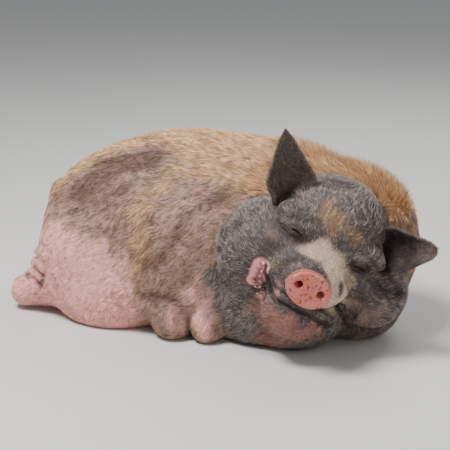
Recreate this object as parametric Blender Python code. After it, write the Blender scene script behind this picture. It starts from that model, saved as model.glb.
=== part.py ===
"""A fat domestic pig lying on its belly with its head turned to its right, life size.

Metres, +Z up.  The floor is z = 0, +X points towards the neck and +Y is the pig's left.
The body is one smooth skin around rounded masses, parted into nodes by thin cuts.
"""
import bpy
import bmesh
import numpy as np
from math import cos, sin, pi, radians

# Sizes, in metres and degrees
GAP = 0.0003
TRIM = 0.0005
WELD = 0.0002
SKIN_STEP = 0.0040
SKIN_FACES = 10400
BARREL = (0.275, 0.205, 0.184)
CROUP = (0.135, 0.175, 0.140)
SHOULDERS = (0.170, 0.195, 0.172)
BELLY = (0.290, 0.218, 0.105)
HAM = (0.116, 0.100, 0.125)
HEAD_YAW, HEAD_PITCH, HEAD_ROLL = -80.0, -16.0, 32.0
DISC_CENTRE = (0.3201, -0.2899, 0.1602)
DISC_TILT, DISC_YAW = 20.0, 6.0
DISC_WIDE, DISC_HIGH = 0.0410, 0.0320
EYE_RADIUS = 0.0115
EYE_AT = np.array([-0.0895, 0.0590, 0.0440])
EAR_LENGTH, EAR_WIDTH = 0.112, 0.080
# Name, base and tip in the head's frame, and the side to which the sheet is rolled
EARS = (("ear_right", (-0.162, -0.100, 0.060), (-0.158, -0.166, 0.155), 1),
        ("ear_left", (-0.150, 0.098, 0.052), (-0.100, 0.159, 0.137), -1))
EAR_FACES = (0.360, -0.891, 0.276)
TAIL_ROUTE = ((-0.290, 0.0, 0.230), (-0.318, 0.002, 0.215), (-0.336, 0.006, 0.185),
              (-0.343, 0.012, 0.145), (-0.346, 0.018, 0.105), (-0.350, 0.022, 0.075))
TAIL_RADII = (0.014, 0.0135, 0.011, 0.008, 0.006, 0.004)
CLAW = (0.027, 0.0112, 0.0165)
# The middle of the finished animal's box, which becomes the origin
MIDDLE = (0.0785, -0.0223)
# Ankle and heading of each foot
FEET = {
    "hind_right": ((-0.150, -0.072, 0.0165), 28),
    "hind_left": ((-0.125, 0.232, 0.0165), 14),
    "fore_right": ((-0.010, -0.062, 0.0165), 135),
    "fore_left": ((0.262, 0.196, 0.0165), -8),
}


# Shapes as distances: negative inside, zero on the skin
def turned(rx=0, ry=0, rz=0):
    rx, ry, rz = radians(rx), radians(ry), radians(rz)
    about_x = np.array([[1, 0, 0], [0, cos(rx), -sin(rx)], [0, sin(rx), cos(rx)]])
    about_y = np.array([[cos(ry), 0, sin(ry)], [0, 1, 0], [-sin(ry), 0, cos(ry)]])
    about_z = np.array([[cos(rz), -sin(rz), 0], [sin(rz), cos(rz), 0], [0, 0, 1]])
    return about_z @ about_y @ about_x


def lump(p, centre, radii, turn=None):
    q = p - np.asarray(centre)
    if turn is not None:
        q = q @ turned(*turn)
    r = np.asarray(radii)
    near = np.sqrt(((q / r) ** 2).sum(1)) + 1e-9
    slope = np.sqrt(((q / (r * r)) ** 2).sum(1)) + 1e-9
    return near * (near - 1.0) / slope


def rod(p, a, b, ra, rb):
    a, b = np.asarray(a, float), np.asarray(b, float)
    along = b - a
    t = np.clip(((p - a) @ along) / (along @ along), 0, 1)
    return np.linalg.norm(p - a - t[:, None] * along, axis=1) - (ra + (rb - ra) * t)


def chain(p, points, radii):
    links = zip(points[:-1], points[1:], radii[:-1], radii[1:])
    return np.minimum.reduce([rod(p, a, b, ra, rb) for a, b, ra, rb in links])


def join(d, e, k):
    h = np.maximum(k - np.abs(d - e), 0) / k
    return np.minimum(d, e) - h * h * h * k / 6


def carve(d, e, k):
    h = np.maximum(k - np.abs(d + e), 0) / k
    return np.maximum(d, -e) + h * h * h * k / 6


def fold(d, p, points, wide, soft):
    """Press a crease along the points; it runs out at both ends."""
    radii = [wide * 0.4] + [wide] * (len(points) - 2) + [wide * 0.4]
    return carve(d, chain(p, points, radii), soft)


# Frames of the head and of the disc of the snout
def head_axes():
    yaw, pitch, roll = radians(HEAD_YAW), radians(HEAD_PITCH), radians(HEAD_ROLL)
    front = np.array([cos(yaw) * cos(pitch), sin(yaw) * cos(pitch), sin(pitch)])
    level = np.array([-sin(yaw), cos(yaw), 0.0])
    crown = np.cross(front, level)
    left = cos(roll) * level - sin(roll) * crown
    return np.array([front, left, cos(roll) * crown + sin(roll) * level])


HEAD = head_axes()
DISC = turned(0, -DISC_TILT, DISC_YAW)


def to_head(p):
    return (p - np.array(DISC_CENTRE)) @ HEAD.T


def from_head(q):
    return np.array(DISC_CENTRE) + np.asarray(q) @ HEAD


def both_sides(q):
    m = q.copy()
    m[:, 1] = np.abs(m[:, 1])
    return m


# Masses of the body
def foot(p, place):
    """The fleshy end of a foot, behind its claws."""
    at, heading = place
    q = (p - np.array(at)) @ turned(0, 0, heading)
    d = rod(q, (-0.050, 0, 0.006), (0.002, 0, 0.001), 0.0190, 0.0165)
    return join(d, lump(q, (-0.004, 0, 0.0), (0.016, 0.0225, 0.0165)), 0.008)


def trunk(p):
    d = lump(p, (-0.005, 0.0, 0.170), BARREL)
    d = join(d, lump(p, (-0.190, 0.0, 0.145), CROUP), 0.08)
    d = join(d, lump(p, (0.150, 0.0, 0.165), SHOULDERS), 0.08)
    return join(d, lump(p, (-0.020, 0.0, 0.080), BELLY), 0.08)


def hind_right(p):
    d = lump(p, (-0.178, -0.112, 0.110), HAM)
    d = join(d, lump(p, (-0.130, -0.125, 0.045), (0.110, 0.092, 0.075)), 0.05)
    hock = [(-0.23, -0.13, 0.07), (-0.316, -0.145, 0.036), (-0.26, -0.13, 0.03)]
    return join(d, chain(p, hock, [0.06, 0.033, 0.026]), 0.03)


def hind_left(p):
    d = lump(p, (-0.178, 0.112, 0.110), HAM)
    leg = [(-0.22, 0.14, 0.07), (-0.292, 0.178, 0.034), (-0.195, 0.214, 0.024)]
    d = join(d, chain(p, leg, [0.06, 0.035, 0.023]), 0.03)
    return join(d, foot(p, FEET["hind_left"]), 0.010)


def fore_right(p):
    d = lump(p, (0.020, -0.178, 0.045), (0.046, 0.050, 0.055))
    return join(d, lump(p, (0.088, -0.172, 0.036), (0.035, 0.045, 0.046)), 0.012)


def fore_left(p):
    leg = [(0.030, 0.165, 0.080), (0.055, 0.185, 0.048), (0.160, 0.206, 0.032), (0.205, 0.204, 0.025)]
    d = chain(p, leg, [0.060, 0.046, 0.031, 0.023])
    return join(d, foot(p, FEET["fore_left"]), 0.010)


def neck_mass(p):
    d = lump(p, (0.185, -0.105, 0.130), (0.105, 0.115, 0.140), (0, 0, 20))
    d = join(d, lump(p, (0.165, -0.120, 0.060), (0.095, 0.080, 0.080)), 0.04)
    d = join(d, lump(p, (0.240, -0.128, 0.050), (0.075, 0.078, 0.062)), 0.03)
    d = join(d, lump(p, (0.330, -0.040, 0.058), (0.085, 0.080, 0.066)), 0.03)
    return join(d, rod(p, (0.17, 0.0, 0.17), (0.288, -0.01, 0.165), 0.165, 0.150), 0.06)


# Masses of the head, in its own frame: x out of the snout, y to the pig's left, z up
def muzzle(q):
    s = (q @ DISC) * np.array([1, 1, DISC_WIDE / DISC_HIGH])
    round_disc = np.sqrt(s[:, 1] ** 2 + s[:, 2] ** 2)
    d = rod(s, (-0.045, 0, 0), (-0.085, 0, -0.004), DISC_WIDE - 0.005, 0.054) / 1.12
    roll = 0.012 - 0.005 * np.clip(-s[:, 2] / 0.030, 0, 1)
    ring = np.sqrt((round_disc - 0.036) ** 2 + (s[:, 0] + 0.031) ** 2) - roll
    d = join(d, ring / 1.12, 0.010)
    d = join(d, lump(q, (-0.072, 0, -0.022), (0.050, 0.070, 0.052)), 0.02)
    thick = np.abs(s[:, 0] + 0.013) - 0.007
    wide = round_disc - (DISC_WIDE - 0.0055)
    beyond = np.sqrt(np.maximum(thick, 0) ** 2 + np.maximum(wide, 0) ** 2)
    plate = beyond + np.minimum(np.maximum(thick, wide), 0)
    return join(d, (plate - 0.0052) / 1.1, 0.004)


def face(q):
    m = both_sides(q)
    d = lump(q, (-0.170, 0, 0.042), (0.090, 0.095, 0.078))
    d = join(d, lump(q, (-0.130, 0, -0.005), (0.070, 0.112, 0.078)), 0.03)
    d = join(d, lump(m, (-0.112, 0.062, 0.046), (0.040, 0.046, 0.025)), 0.02)
    return join(d, lump(m, (-0.096, 0.066, 0.006), (0.024, 0.034, 0.014)), 0.012)


def jaw(q):
    d = lump(q, (-0.058, 0.010, -0.094), (0.050, 0.058, 0.046))
    return join(d, lump(q, (-0.120, 0.020, -0.115), (0.080, 0.095, 0.060)), 0.03)


def bare_head(q):
    d = join(muzzle(q), face(q), 0.035)
    d = join(d, lump(q, (-0.145, -0.096, -0.062), (0.090, 0.072, 0.088)), 0.045)
    d = join(d, lump(q, (-0.150, 0.122, -0.032), (0.070, 0.070, 0.066)), 0.03)
    d = join(d, jaw(q), 0.010)
    lids = lump(both_sides(q), EYE_AT + np.array([0.002, 0.001, 0]), (0.0165, 0.0185, 0.0145))
    return join(d, lids, 0.008)


def settled(points, field):
    """Move the points of a crease onto the skin that it is pressed in."""
    p = np.array(points)
    for _ in range(8):
        d = field(p)
        slope = np.stack([field(p + step) - d for step in np.eye(3) * 0.0005], 1) / 0.0005
        p = p - (d / (slope * slope).sum(1))[:, None] * slope
    return p


# Creases of the head: the mouth, the brow, the hollow by the left eye, the cheek and the band below the ear
MOUTH = settled([(-0.054, -0.074, -0.034), (-0.050, -0.063, -0.054), (-0.044, -0.046, -0.070),
                 (-0.031, -0.028, -0.072), (-0.0235, -0.004, -0.064), (-0.027, 0.026, -0.061),
                 (-0.040, 0.054, -0.071)], bare_head)
BROW = settled([(-0.102, -0.106, 0.036), (-0.085, -0.095, 0.050), (-0.080, -0.078, 0.062),
                (-0.080, -0.058, 0.068), (-0.086, -0.036, 0.074)], bare_head)
POUCH = settled([(-0.084, 0.026, 0.072), (-0.078, 0.045, 0.068), (-0.078, 0.066, 0.060),
                 (-0.093, 0.097, 0.034), (-0.108, 0.122, 0.022), (-0.116, 0.150, 0.010)], bare_head)
CHEEK = settled([(-0.066, 0.055, 0.018), (-0.072, 0.079, -0.002), (-0.084, 0.105, -0.034),
                 (-0.100, 0.112, -0.070)], bare_head)
BAND = settled([(-0.100, 0.127, 0.018), (-0.103, 0.157, 0.004), (-0.107, 0.174, -0.014),
                (-0.125, 0.180, -0.040)], bare_head)


def lips(d, q):
    """The full right side of the muzzle and the rims of both lips, with raw flesh bunched at the corner."""
    side = [(-0.056, -0.062, -0.036), (-0.056, -0.060, -0.014), (-0.055, -0.042, 0.010),
            (-0.052, -0.014, 0.018)]
    d = join(d, chain(q, side, [0.0115, 0.0125, 0.0125, 0.010]), 0.012)
    rim = [0.004] + [0.0065] * 5 + [0.004]
    d = join(d, chain(q, MOUTH + np.array([-0.004, 0, 0.009]), rim), 0.010)
    d = join(d, chain(q, MOUTH + np.array([-0.006, 0, -0.009]), rim), 0.012)
    corner = [(-0.058, -0.077, -0.038), (-0.058, -0.076, -0.056), (-0.062, -0.070, -0.076)]
    return join(d, chain(q, corner, [0.005, 0.007, 0.006]), 0.012)


def head(q):
    d = fold(lips(bare_head(q), q), q, MOUTH, 0.0045, 0.012)
    d = fold(d, q, BROW, 0.0030, 0.012)
    d = fold(d, q, POUCH, 0.0060, 0.018)
    d = carve(d, chain(q, POUCH[2:], [0.006, 0.010, 0.009, 0.004]), 0.020)
    d = fold(d, q, CHEEK, 0.0055, 0.018)
    return fold(d, q, BAND, 0.0030, 0.012)


# Rolls and creases of the body
def rump_rolls(d, p):
    """Four rolls of loose skin between the ham and the hock."""
    for k in range(4):
        ham_end = (-0.247 - 0.005 * k, -0.182 + 0.002 * k, 0.122 - 0.0215 * k)
        far_end = (-0.284 - 0.010 * k, -0.140, 0.118 - 0.023 * k)
        d = join(d, rod(p, ham_end, far_end, 0.0120, 0.0135), 0.008)
    return d


def body_folds(d, p):
    ham = [(-0.002, -0.205, 0.195), (-0.018, -0.211, 0.162), (-0.028, -0.217, 0.127),
           (-0.033, -0.224, 0.085), (-0.036, -0.224, 0.045), (-0.038, -0.222, 0.0)]
    d = fold(d, p, ham, 0.006, 0.020)
    roll = [(0.129, -0.135, 0.262), (0.065, -0.176, 0.198), (0.030, -0.188, 0.150), (-0.005, -0.196, 0.112)]
    d = join(d, chain(p, roll, [0.022, 0.026, 0.028, 0.022]), 0.04)
    elbow = [(-0.030, -0.222, 0.074), (0.010, -0.224, 0.088), (0.040, -0.222, 0.080),
             (0.052, -0.216, 0.040), (0.056, -0.214, 0.0)]
    d = fold(d, p, elbow, 0.005, 0.014)
    nape = [(0.280, -0.173, 0.315), (0.251, -0.184, 0.298), (0.213, -0.198, 0.283), (0.188, -0.232, 0.256),
            (0.150, -0.240, 0.222), (0.120, -0.226, 0.170)]
    return fold(d, p, nape, 0.004, 0.022)


def pig(p):
    q = to_head(p)
    d = trunk(p)
    d = rump_rolls(join(d, hind_right(p), 0.030), p)
    d = join(d, hind_left(p), 0.030)
    d = join(d, fore_left(p), 0.020)
    d = join(d, fore_right(p), 0.012)
    d = join(d, neck_mass(p), 0.030)
    d = join(d, head(q), 0.030)
    return body_folds(d, p)


# Meshes
def corner_grid(field, low, high, step):
    """The field on a regular grid, worked out only in blocks near the skin."""
    count = [int(np.ceil((h - l) / step / 8)) * 8 + 1 for l, h in zip(low, high)]
    axes = [l + step * np.arange(n) for l, n in zip(low, count)]
    values = np.empty(count, np.float32)
    for i in range(0, count[0] - 1, 8):
        for j in range(0, count[1] - 1, 8):
            ks = np.arange(0, count[2] - 1, 8)
            middles = np.array([[axes[0][i + 4], axes[1][j + 4], axes[2][k + 4]] for k in ks])
            rough = field(middles)
            for k, r in zip(ks, rough):
                part = values[i:i + 9, j:j + 9, k:k + 9]
                if abs(r) > 16 * step:
                    part[:] = r
                    continue
                grid = np.meshgrid(axes[0][i:i + 9], axes[1][j:j + 9], axes[2][k:k + 9], indexing="ij")
                points = np.stack([g.ravel() for g in grid], 1)
                part[:] = field(points).reshape(9, 9, 9)
    return values, axes


def without_pinches(values, step):
    """Fill the corners at which the skin would touch itself along an edge."""
    for _ in range(8):
        found = 0
        for u, v in ((0, 1), (0, 2), (1, 2)):
            corner = {}
            for du in (0, 1):
                for dv in (0, 1):
                    window = [slice(None)] * 3
                    window[u] = slice(du, values.shape[u] - 1 + du)
                    window[v] = slice(dv, values.shape[v] - 1 + dv)
                    corner[du, dv] = values[tuple(window)]
            a, b, c, d = [corner[k] < 0 for k in ((0, 0), (1, 0), (0, 1), (1, 1))]
            pinches = ((a & d & ~b & ~c, ((1, 0), (0, 1))), (b & c & ~a & ~d, ((0, 0), (1, 1))))
            for pinch, pair in pinches:
                found += pinch.sum()
                for k in pair:
                    corner[k][pinch] = -0.2 * step
        if not found:
            break
    return values


def skin_mesh(name, field, low, high, step):
    """A closed mesh through the zero of the field, one point in each cell that it crosses."""
    values, axes = corner_grid(field, low, high, step)
    for axis in (0, 1, 2, 0, 1, 2):
        line = np.moveaxis(values, axis, 0)
        line[1:-1] = (line[:-2] + 2 * line[1:-1] + line[2:]) / 4
    values = without_pinches(values, step)
    inside = values < 0
    cells = tuple(n - 1 for n in values.shape)
    total = np.zeros(cells + (3,), np.float32)
    hits = np.zeros(cells, np.int32)
    for axis in range(3):
        u, v = [a for a in range(3) if a != axis]
        for du in (0, 1):
            for dv in (0, 1):
                near = [slice(0, cells[a]) for a in range(3)]
                near[u] = slice(du, cells[u] + du)
                near[v] = slice(dv, cells[v] + dv)
                far = list(near)
                far[axis] = slice(1, cells[axis] + 1)
                a, b = values[tuple(near)], values[tuple(far)]
                cross = (a < 0) != (b < 0)
                offset = np.where(cross, a / np.where(cross, a - b, 1), 0)
                total[..., axis] += offset
                total[..., u] += cross * du
                total[..., v] += cross * dv
                hits += cross
    used = hits > 0
    number = np.full(cells, -1, np.int64)
    number[used] = np.arange(used.sum())
    where = np.argwhere(used)
    points = (where + total[used] / hits[used][:, None]) * step + np.array(low)
    faces = []
    for axis in range(3):
        u, v = (axis + 1) % 3, (axis + 2) % 3
        near = [slice(1, n - 1) for n in values.shape]
        near[axis] = slice(0, values.shape[axis] - 1)
        far = list(near)
        far[axis] = slice(1, values.shape[axis])
        a, b = inside[tuple(near)], inside[tuple(far)]
        for flip, mask in ((False, a & ~b), (True, ~a & b)):
            at = np.argwhere(mask) + np.array([0 if k == axis else 1 for k in range(3)])
            ring = []
            for du, dv in ((-1, -1), (0, -1), (0, 0), (-1, 0)):
                c = at.copy()
                c[:, u] += du
                c[:, v] += dv
                ring.append(number[tuple(c.T)])
            quad = np.stack(ring, 1)
            faces.append(quad[:, ::-1] if flip else quad)
    faces = np.concatenate(faces)
    mesh = bpy.data.meshes.new(name)
    mesh.from_pydata(points.tolist(), [], faces.tolist())
    mesh.update()
    return mesh


def new_object(name, mesh):
    obj = bpy.data.objects.new(name, mesh)
    bpy.context.scene.collection.objects.link(obj)
    return obj


def apply_modifiers(obj):
    baked = bpy.data.meshes.new_from_object(obj.evaluated_get(bpy.context.evaluated_depsgraph_get()))
    obj.modifiers.clear()
    old = obj.data
    obj.data = baked
    bpy.data.meshes.remove(old)
    return obj


def face_outward(bm):
    """Turn the faces outward, all alike, whichever way they were made."""
    bmesh.ops.recalc_face_normals(bm, faces=bm.faces)
    if bm.calc_volume(signed=True) < 0:
        bmesh.ops.reverse_faces(bm, faces=bm.faces)


def tool_mesh(name, build):
    """A cutter, kept out of the render and in a collection of its own until it is removed."""
    mesh = bpy.data.meshes.new(name)
    bm = bmesh.new()
    build(bm)
    face_outward(bm)
    bm.to_mesh(mesh)
    bm.free()
    obj = bpy.data.objects.new(name, mesh)
    tools.objects.link(obj)
    obj.hide_render = True
    obj.display_type = "WIRE"
    return obj


def boolean(obj, cutter, how):
    bpy.context.view_layer.update()
    mod = obj.modifiers.new("cut", "BOOLEAN")
    mod.operation = how
    mod.solver = "EXACT"
    mod.object = cutter
    return apply_modifiers(obj)


def largest_shell(obj):
    """Keep the largest closed surface and drop loose scraps."""
    bm = bmesh.new()
    bm.from_mesh(obj.data)
    bm.faces.ensure_lookup_table()
    seen, best, size = set(), [], 0.0
    for start in bm.faces:
        if start.index in seen:
            continue
        group, stack = [], [start]
        seen.add(start.index)
        while stack:
            f = stack.pop()
            group.append(f)
            for e in f.edges:
                for g in e.link_faces:
                    if g.index not in seen:
                        seen.add(g.index)
                        stack.append(g)
        area = sum(f.calc_area() for f in group)
        if area > size:
            best, size = group, area
    keep = set(f.index for f in best)
    bmesh.ops.delete(bm, geom=[f for f in bm.faces if f.index not in keep], context="FACES")
    bm.to_mesh(obj.data)
    bm.free()
    return obj


def welded(obj):
    """Close up the slivers that a cut leaves where two skins graze each other."""
    bm = bmesh.new()
    bm.from_mesh(obj.data)
    bmesh.ops.remove_doubles(bm, verts=bm.verts, dist=WELD)
    bmesh.ops.dissolve_degenerate(bm, edges=bm.edges, dist=WELD)
    bm.to_mesh(obj.data)
    bm.free()
    return obj


def box(name, centre, half, frame=None, grow=0.0):
    """A box tool; the rows of frame are its axes."""
    frame = np.eye(3) if frame is None else np.asarray(frame)
    sizes = np.array(half) + grow

    def build(bm):
        bmesh.ops.create_cube(bm, size=2.0)
        for v in bm.verts:
            v.co = np.array(centre) + (np.array(v.co) * sizes) @ frame
    return tool_mesh(name, build)


def copy_of(obj, name):
    return new_object(name, obj.data.copy())


def part_off(whole, name, centre, half, frame=None):
    """Cut the box out of the whole as a node of its own, leaving a thin gap."""
    piece = copy_of(whole, name)
    inner = box("inner", centre, half, frame)
    outer = box("outer", centre, half, frame, GAP)
    largest_shell(boolean(piece, inner, "INTERSECT"))
    largest_shell(boolean(whole, outer, "DIFFERENCE"))
    for tool in (inner, outer):
        bpy.data.objects.remove(tool)
    return piece


def puffed(obj, name, by):
    """A copy with its skin moved out, to trim a piece that meets it."""
    mesh = obj.data.copy()
    bm = bmesh.new()
    bm.from_mesh(mesh)
    bm.normal_update()
    shift = [v.normal.copy() * by for v in bm.verts]
    for v, d in zip(bm.verts, shift):
        v.co += d
    bm.to_mesh(mesh)
    bm.free()
    copy = bpy.data.objects.new(name, mesh)
    tools.objects.link(copy)
    copy.hide_render = True
    copy.display_type = "WIRE"
    return copy


# The skin, thinned where it is smooth
def whole_skin():
    mesh = skin_mesh("torso", pig, (-0.372, -0.345, -0.044), (0.490, 0.270, 0.380), SKIN_STEP)
    obj = new_object("torso", mesh)
    at = np.empty(len(obj.data.vertices) * 3)
    obj.data.vertices.foreach_get("co", at)
    q = to_head(at.reshape(-1, 3))
    fine = obj.vertex_groups.new(name="coarse")
    level = np.round(np.clip((np.linalg.norm(q, axis=1) - 0.08) * 4.0, 0.0, 1), 2)
    for value in np.unique(level):
        fine.add(np.nonzero(level == value)[0].tolist(), float(value), "REPLACE")
    thin = obj.modifiers.new("thin", "DECIMATE")
    thin.ratio = SKIN_FACES / (2.0 * len(obj.data.polygons))
    thin.vertex_group = "coarse"
    thin.vertex_group_factor = 0.00001
    apply_modifiers(obj)
    floor = box("floor", (0, 0, 0.5), (2, 2, 0.5))
    boolean(obj, floor, "INTERSECT")
    bpy.data.objects.remove(floor)
    return largest_shell(obj)


# Ears, rolled at the base and open towards the tip
def ear_point(s, t, lift):
    """A point of the ear: s runs from base to tip, t from edge to edge, lift is out of its back."""
    roll = radians(82 - 50 * s)
    broad = 0.78 + 1.6 * s - 3.2 * s ** 2 if s < 0.25 else ((1.12 - s) / 0.87) ** 0.9 * 0.98
    broad *= max(1 - max(s - 0.85, 0) / 0.15, 0.10) ** 0.5
    radius = EAR_WIDTH * broad / (2 * sin(roll))
    angle = t * roll
    out = radius + lift
    return np.array([EAR_LENGTH * s, out * sin(angle), radius * 0.75 - out * cos(angle)])


def ear(name, base, tip, opening, twist):
    along = np.array(tip) - np.array(base)
    length = np.linalg.norm(along)
    along /= length
    front = np.array(opening) - np.array(opening) @ along * along
    front /= np.linalg.norm(front)
    side = np.cross(front, along) * twist
    rows, columns = 9, 9
    mesh = bpy.data.meshes.new(name)
    bm = bmesh.new()
    sheets = []
    for lift in (0.0, 1.0):
        sheet = []
        for i in range(rows):
            s = -0.22 + 1.22 * i / (rows - 1)
            thick = 0.0056 - 0.0020 * max(s, 0)
            line = []
            for j in range(columns):
                t = -1 + 2 * j / (columns - 1)
                edge = 1 - 0.45 * abs(t) ** 3
                x, y, z = ear_point(max(s, 0), t, lift * thick * edge)
                x = EAR_LENGTH * s * (1 - 0.05 * t * t)
                point = np.array(base) + along * x * length / EAR_LENGTH + side * y + front * z
                line.append(bm.verts.new(point))
            sheet.append(line)
        sheets.append(sheet)
    inner, outer = sheets
    for i in range(rows - 1):
        for j in range(columns - 1):
            bm.faces.new((inner[i][j], inner[i][j + 1], inner[i + 1][j + 1], inner[i + 1][j]))
            bm.faces.new((outer[i][j], outer[i + 1][j], outer[i + 1][j + 1], outer[i][j + 1]))
    rim = [(i, 0) for i in range(rows)] + [(rows - 1, j) for j in range(1, columns)]
    rim += [(i, columns - 1) for i in range(rows - 2, -1, -1)] + [(0, j) for j in range(columns - 2, 0, -1)]
    for a, b in zip(rim, rim[1:] + rim[:1]):
        bm.faces.new((inner[a[0]][a[1]], inner[b[0]][b[1]], outer[b[0]][b[1]], outer[a[0]][a[1]]))
    face_outward(bm)
    bm.to_mesh(mesh)
    bm.free()
    return new_object(name, mesh)


def tube(name, points, radii, sides=10):
    """A closed tapered tube through the points."""
    points = np.array(points, float)
    mesh = bpy.data.meshes.new(name)
    bm = bmesh.new()
    rings = []
    for i, (at, radius) in enumerate(zip(points, radii)):
        ahead = points[min(i + 1, len(points) - 1)] - points[max(i - 1, 0)]
        ahead /= np.linalg.norm(ahead)
        across = np.cross(ahead, (0.0, 1.0, 0.0))
        across /= np.linalg.norm(across)
        over = np.cross(ahead, across)
        turn = [2 * pi * k / sides for k in range(sides)]
        rings.append([bm.verts.new(at + radius * (cos(a) * across + sin(a) * over)) for a in turn])
    for r, s in zip(rings, rings[1:]):
        for k in range(sides):
            bm.faces.new((r[k], r[(k + 1) % sides], s[(k + 1) % sides], s[k]))
    bm.faces.new(rings[0])
    bm.faces.new(rings[-1])
    face_outward(bm)
    bm.to_mesh(mesh)
    bm.free()
    return new_object(name, mesh)


def cut_flat(bm, at, normal):
    """Cut away what lies ahead of the plane and close the cut."""
    everything = bm.verts[:] + bm.edges[:] + bm.faces[:]
    bmesh.ops.bisect_plane(bm, geom=everything, plane_co=at, plane_no=normal, clear_outer=True)
    open_edges = [e for e in bm.edges if len(e.link_faces) == 1]
    bmesh.ops.holes_fill(bm, edges=open_edges)


def claw(name, place, side):
    """One half of a cloven hoof: a rounded wedge with a flat sole, pointed in front."""
    at, heading = place
    frame = turned(0, 0, heading)

    def build(bm):
        bmesh.ops.create_uvsphere(bm, u_segments=12, v_segments=9, radius=1.0)
        for v in bm.verts:
            x, y, z = v.co
            toe = max(x, 0) ** 2
            wide = side * (CLAW[1] + 0.0006 - 0.0030 * toe) + y * CLAW[1] * (1 - 0.35 * toe)
            q = np.array([x * CLAW[0] + 0.014, wide, z * CLAW[2] * (1 - 0.25 * toe) - 0.0015])
            v.co = np.array(at) + frame @ q
        cut_flat(bm, (0, 0, 0), (0, 0, -1))
        cut_flat(bm, at, -frame[:, 0])
    return shown(tool_mesh(name, build))


def dewclaw(name, place, side):
    at, heading = place
    frame = turned(0, 0, heading)

    def build(bm):
        bmesh.ops.create_uvsphere(bm, u_segments=8, v_segments=6, radius=1.0)
        for v in bm.verts:
            x, y, z = v.co
            q = np.array([x * 0.011 - 0.036, y * 0.0065 + side * 0.0185, z * 0.0065 - 0.0075])
            v.co = np.array(at) + frame @ q
    return shown(tool_mesh(name, build))


def shown(obj):
    """Bring a tool over to the part's own pieces."""
    tools.objects.unlink(obj)
    bpy.context.scene.collection.objects.link(obj)
    obj.hide_render = False
    obj.display_type = "TEXTURED"
    return obj


def ball(name, centre, radius, linked=True):
    def build(bm):
        bmesh.ops.create_uvsphere(bm, u_segments=16, v_segments=10, radius=radius)
        for v in bm.verts:
            v.co = np.array(v.co) + np.array(centre)
    obj = tool_mesh(name, build)
    return shown(obj) if linked else obj


def slit(name, side):
    """The thin opening between the lids."""
    def build(bm):
        bmesh.ops.create_uvsphere(bm, u_segments=14, v_segments=8, radius=1.0)
        for v in bm.verts:
            x, y, z = v.co
            q = np.array([x * 0.020, y * 0.0125, z * 0.0017 - 0.004 * y * y])
            at = EYE_AT * np.array([1, side, 1]) + np.array([0.016, 0.004 * side, 0.000])
            v.co = from_head(at + q)
    return tool_mesh(name, build)


def nostril(name, side):
    def build(bm):
        bmesh.ops.create_cone(bm, cap_ends=True, segments=14, radius1=0.0036, radius2=0.0080, depth=0.020)
        for v in bm.verts:
            x, y, z = v.co
            q = np.array([z - 0.003, side * 0.0215 + x * 0.95, y * 0.90 + 0.001])
            v.co = from_head(q @ DISC.T)
    return tool_mesh(name, build)


# Colours and materials
def material(name, colour, rough):
    mat = bpy.data.materials.new(name)
    mat.use_nodes = True
    shader = mat.node_tree.nodes["Principled BSDF"]
    shader.inputs["Base Color"].default_value = (*colour, 1)
    shader.inputs["Roughness"].default_value = rough
    shader.inputs["Metallic"].default_value = 0.0
    return mat


for old in list(bpy.data.objects):
    bpy.data.objects.remove(old)
tools = bpy.data.collections.new("tools")
bpy.context.scene.collection.children.link(tools)

torso = whole_skin()
nodes = {"torso": torso}
for at, heading in FEET.values():
    frame = turned(0, 0, heading).T
    end = box("end", np.array(at) + (0.030 - GAP) * frame[0], (0.030, 0.035, 0.019), frame)
    largest_shell(boolean(torso, end, "DIFFERENCE"))
    bpy.data.objects.remove(end)
outside = puffed(torso, "outside", TRIM)
nodes["hindleg_right"] = part_off(torso, "hindleg_right", (-0.250, -0.220, 0.080), (0.215, 0.170, 0.125))
nodes["hindleg_left"] = part_off(torso, "hindleg_left", (-0.250, 0.230, 0.080), (0.192, 0.130, 0.125))
nodes["foreleg_right"] = part_off(torso, "foreleg_right", (0.045, -0.250, 0.030), (0.079, 0.115, 0.075))
nodes["foreleg_left"] = part_off(torso, "foreleg_left", (0.160, 0.280, 0.040), (0.200, 0.112, 0.085))
front = np.array([cos(radians(-9)), sin(radians(-9)), 0.0])
across = np.array([-front[1], front[0], 0.0])
upright = np.array([front, across, (0.0, 0.0, 1.0)])
nodes["neck"] = part_off(torso, "neck", np.array((0.160, 0.0, 0.2)) + front * 0.3, (0.3, 0.6, 0.4), upright)
nodes["head"] = part_off(nodes["neck"], "head", from_head((0.100, 0.0, 0.0)), (0.300, 0.5, 0.5), HEAD)
head_node = nodes["head"]
disc_box = from_head(np.array((0.038, 0, 0)) @ DISC.T)
nodes["snout_disc"] = part_off(head_node, "snout_disc", disc_box, (0.05, 0.06, 0.06), DISC.T @ HEAD)
jaw_box = from_head((-0.020, 0.008, -0.160))
nodes["lower_jaw"] = part_off(head_node, "lower_jaw", jaw_box, (0.070, 0.100, 0.098), HEAD)
for side, name in ((-1, "right"), (1, "left")):
    at = from_head(EYE_AT * np.array([1, side, 1]))
    nodes["eye_" + name] = ball("eye_" + name, at, EYE_RADIUS)
    socket = ball("socket", at, EYE_RADIUS + GAP, False)
    gap = slit("gap", side)
    boolean(head_node, socket, "DIFFERENCE")
    boolean(head_node, gap, "DIFFERENCE")
    hole = nostril("hole", side)
    boolean(nodes["snout_disc"], hole, "DIFFERENCE")
    for tool in (socket, gap, hole):
        bpy.data.objects.remove(tool)
for name, base, tip, twist in EARS:
    nodes[name] = ear(name, from_head(base), from_head(tip), EAR_FACES, twist)
nodes["tail"] = tube("tail", TAIL_ROUTE, TAIL_RADII)
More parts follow.
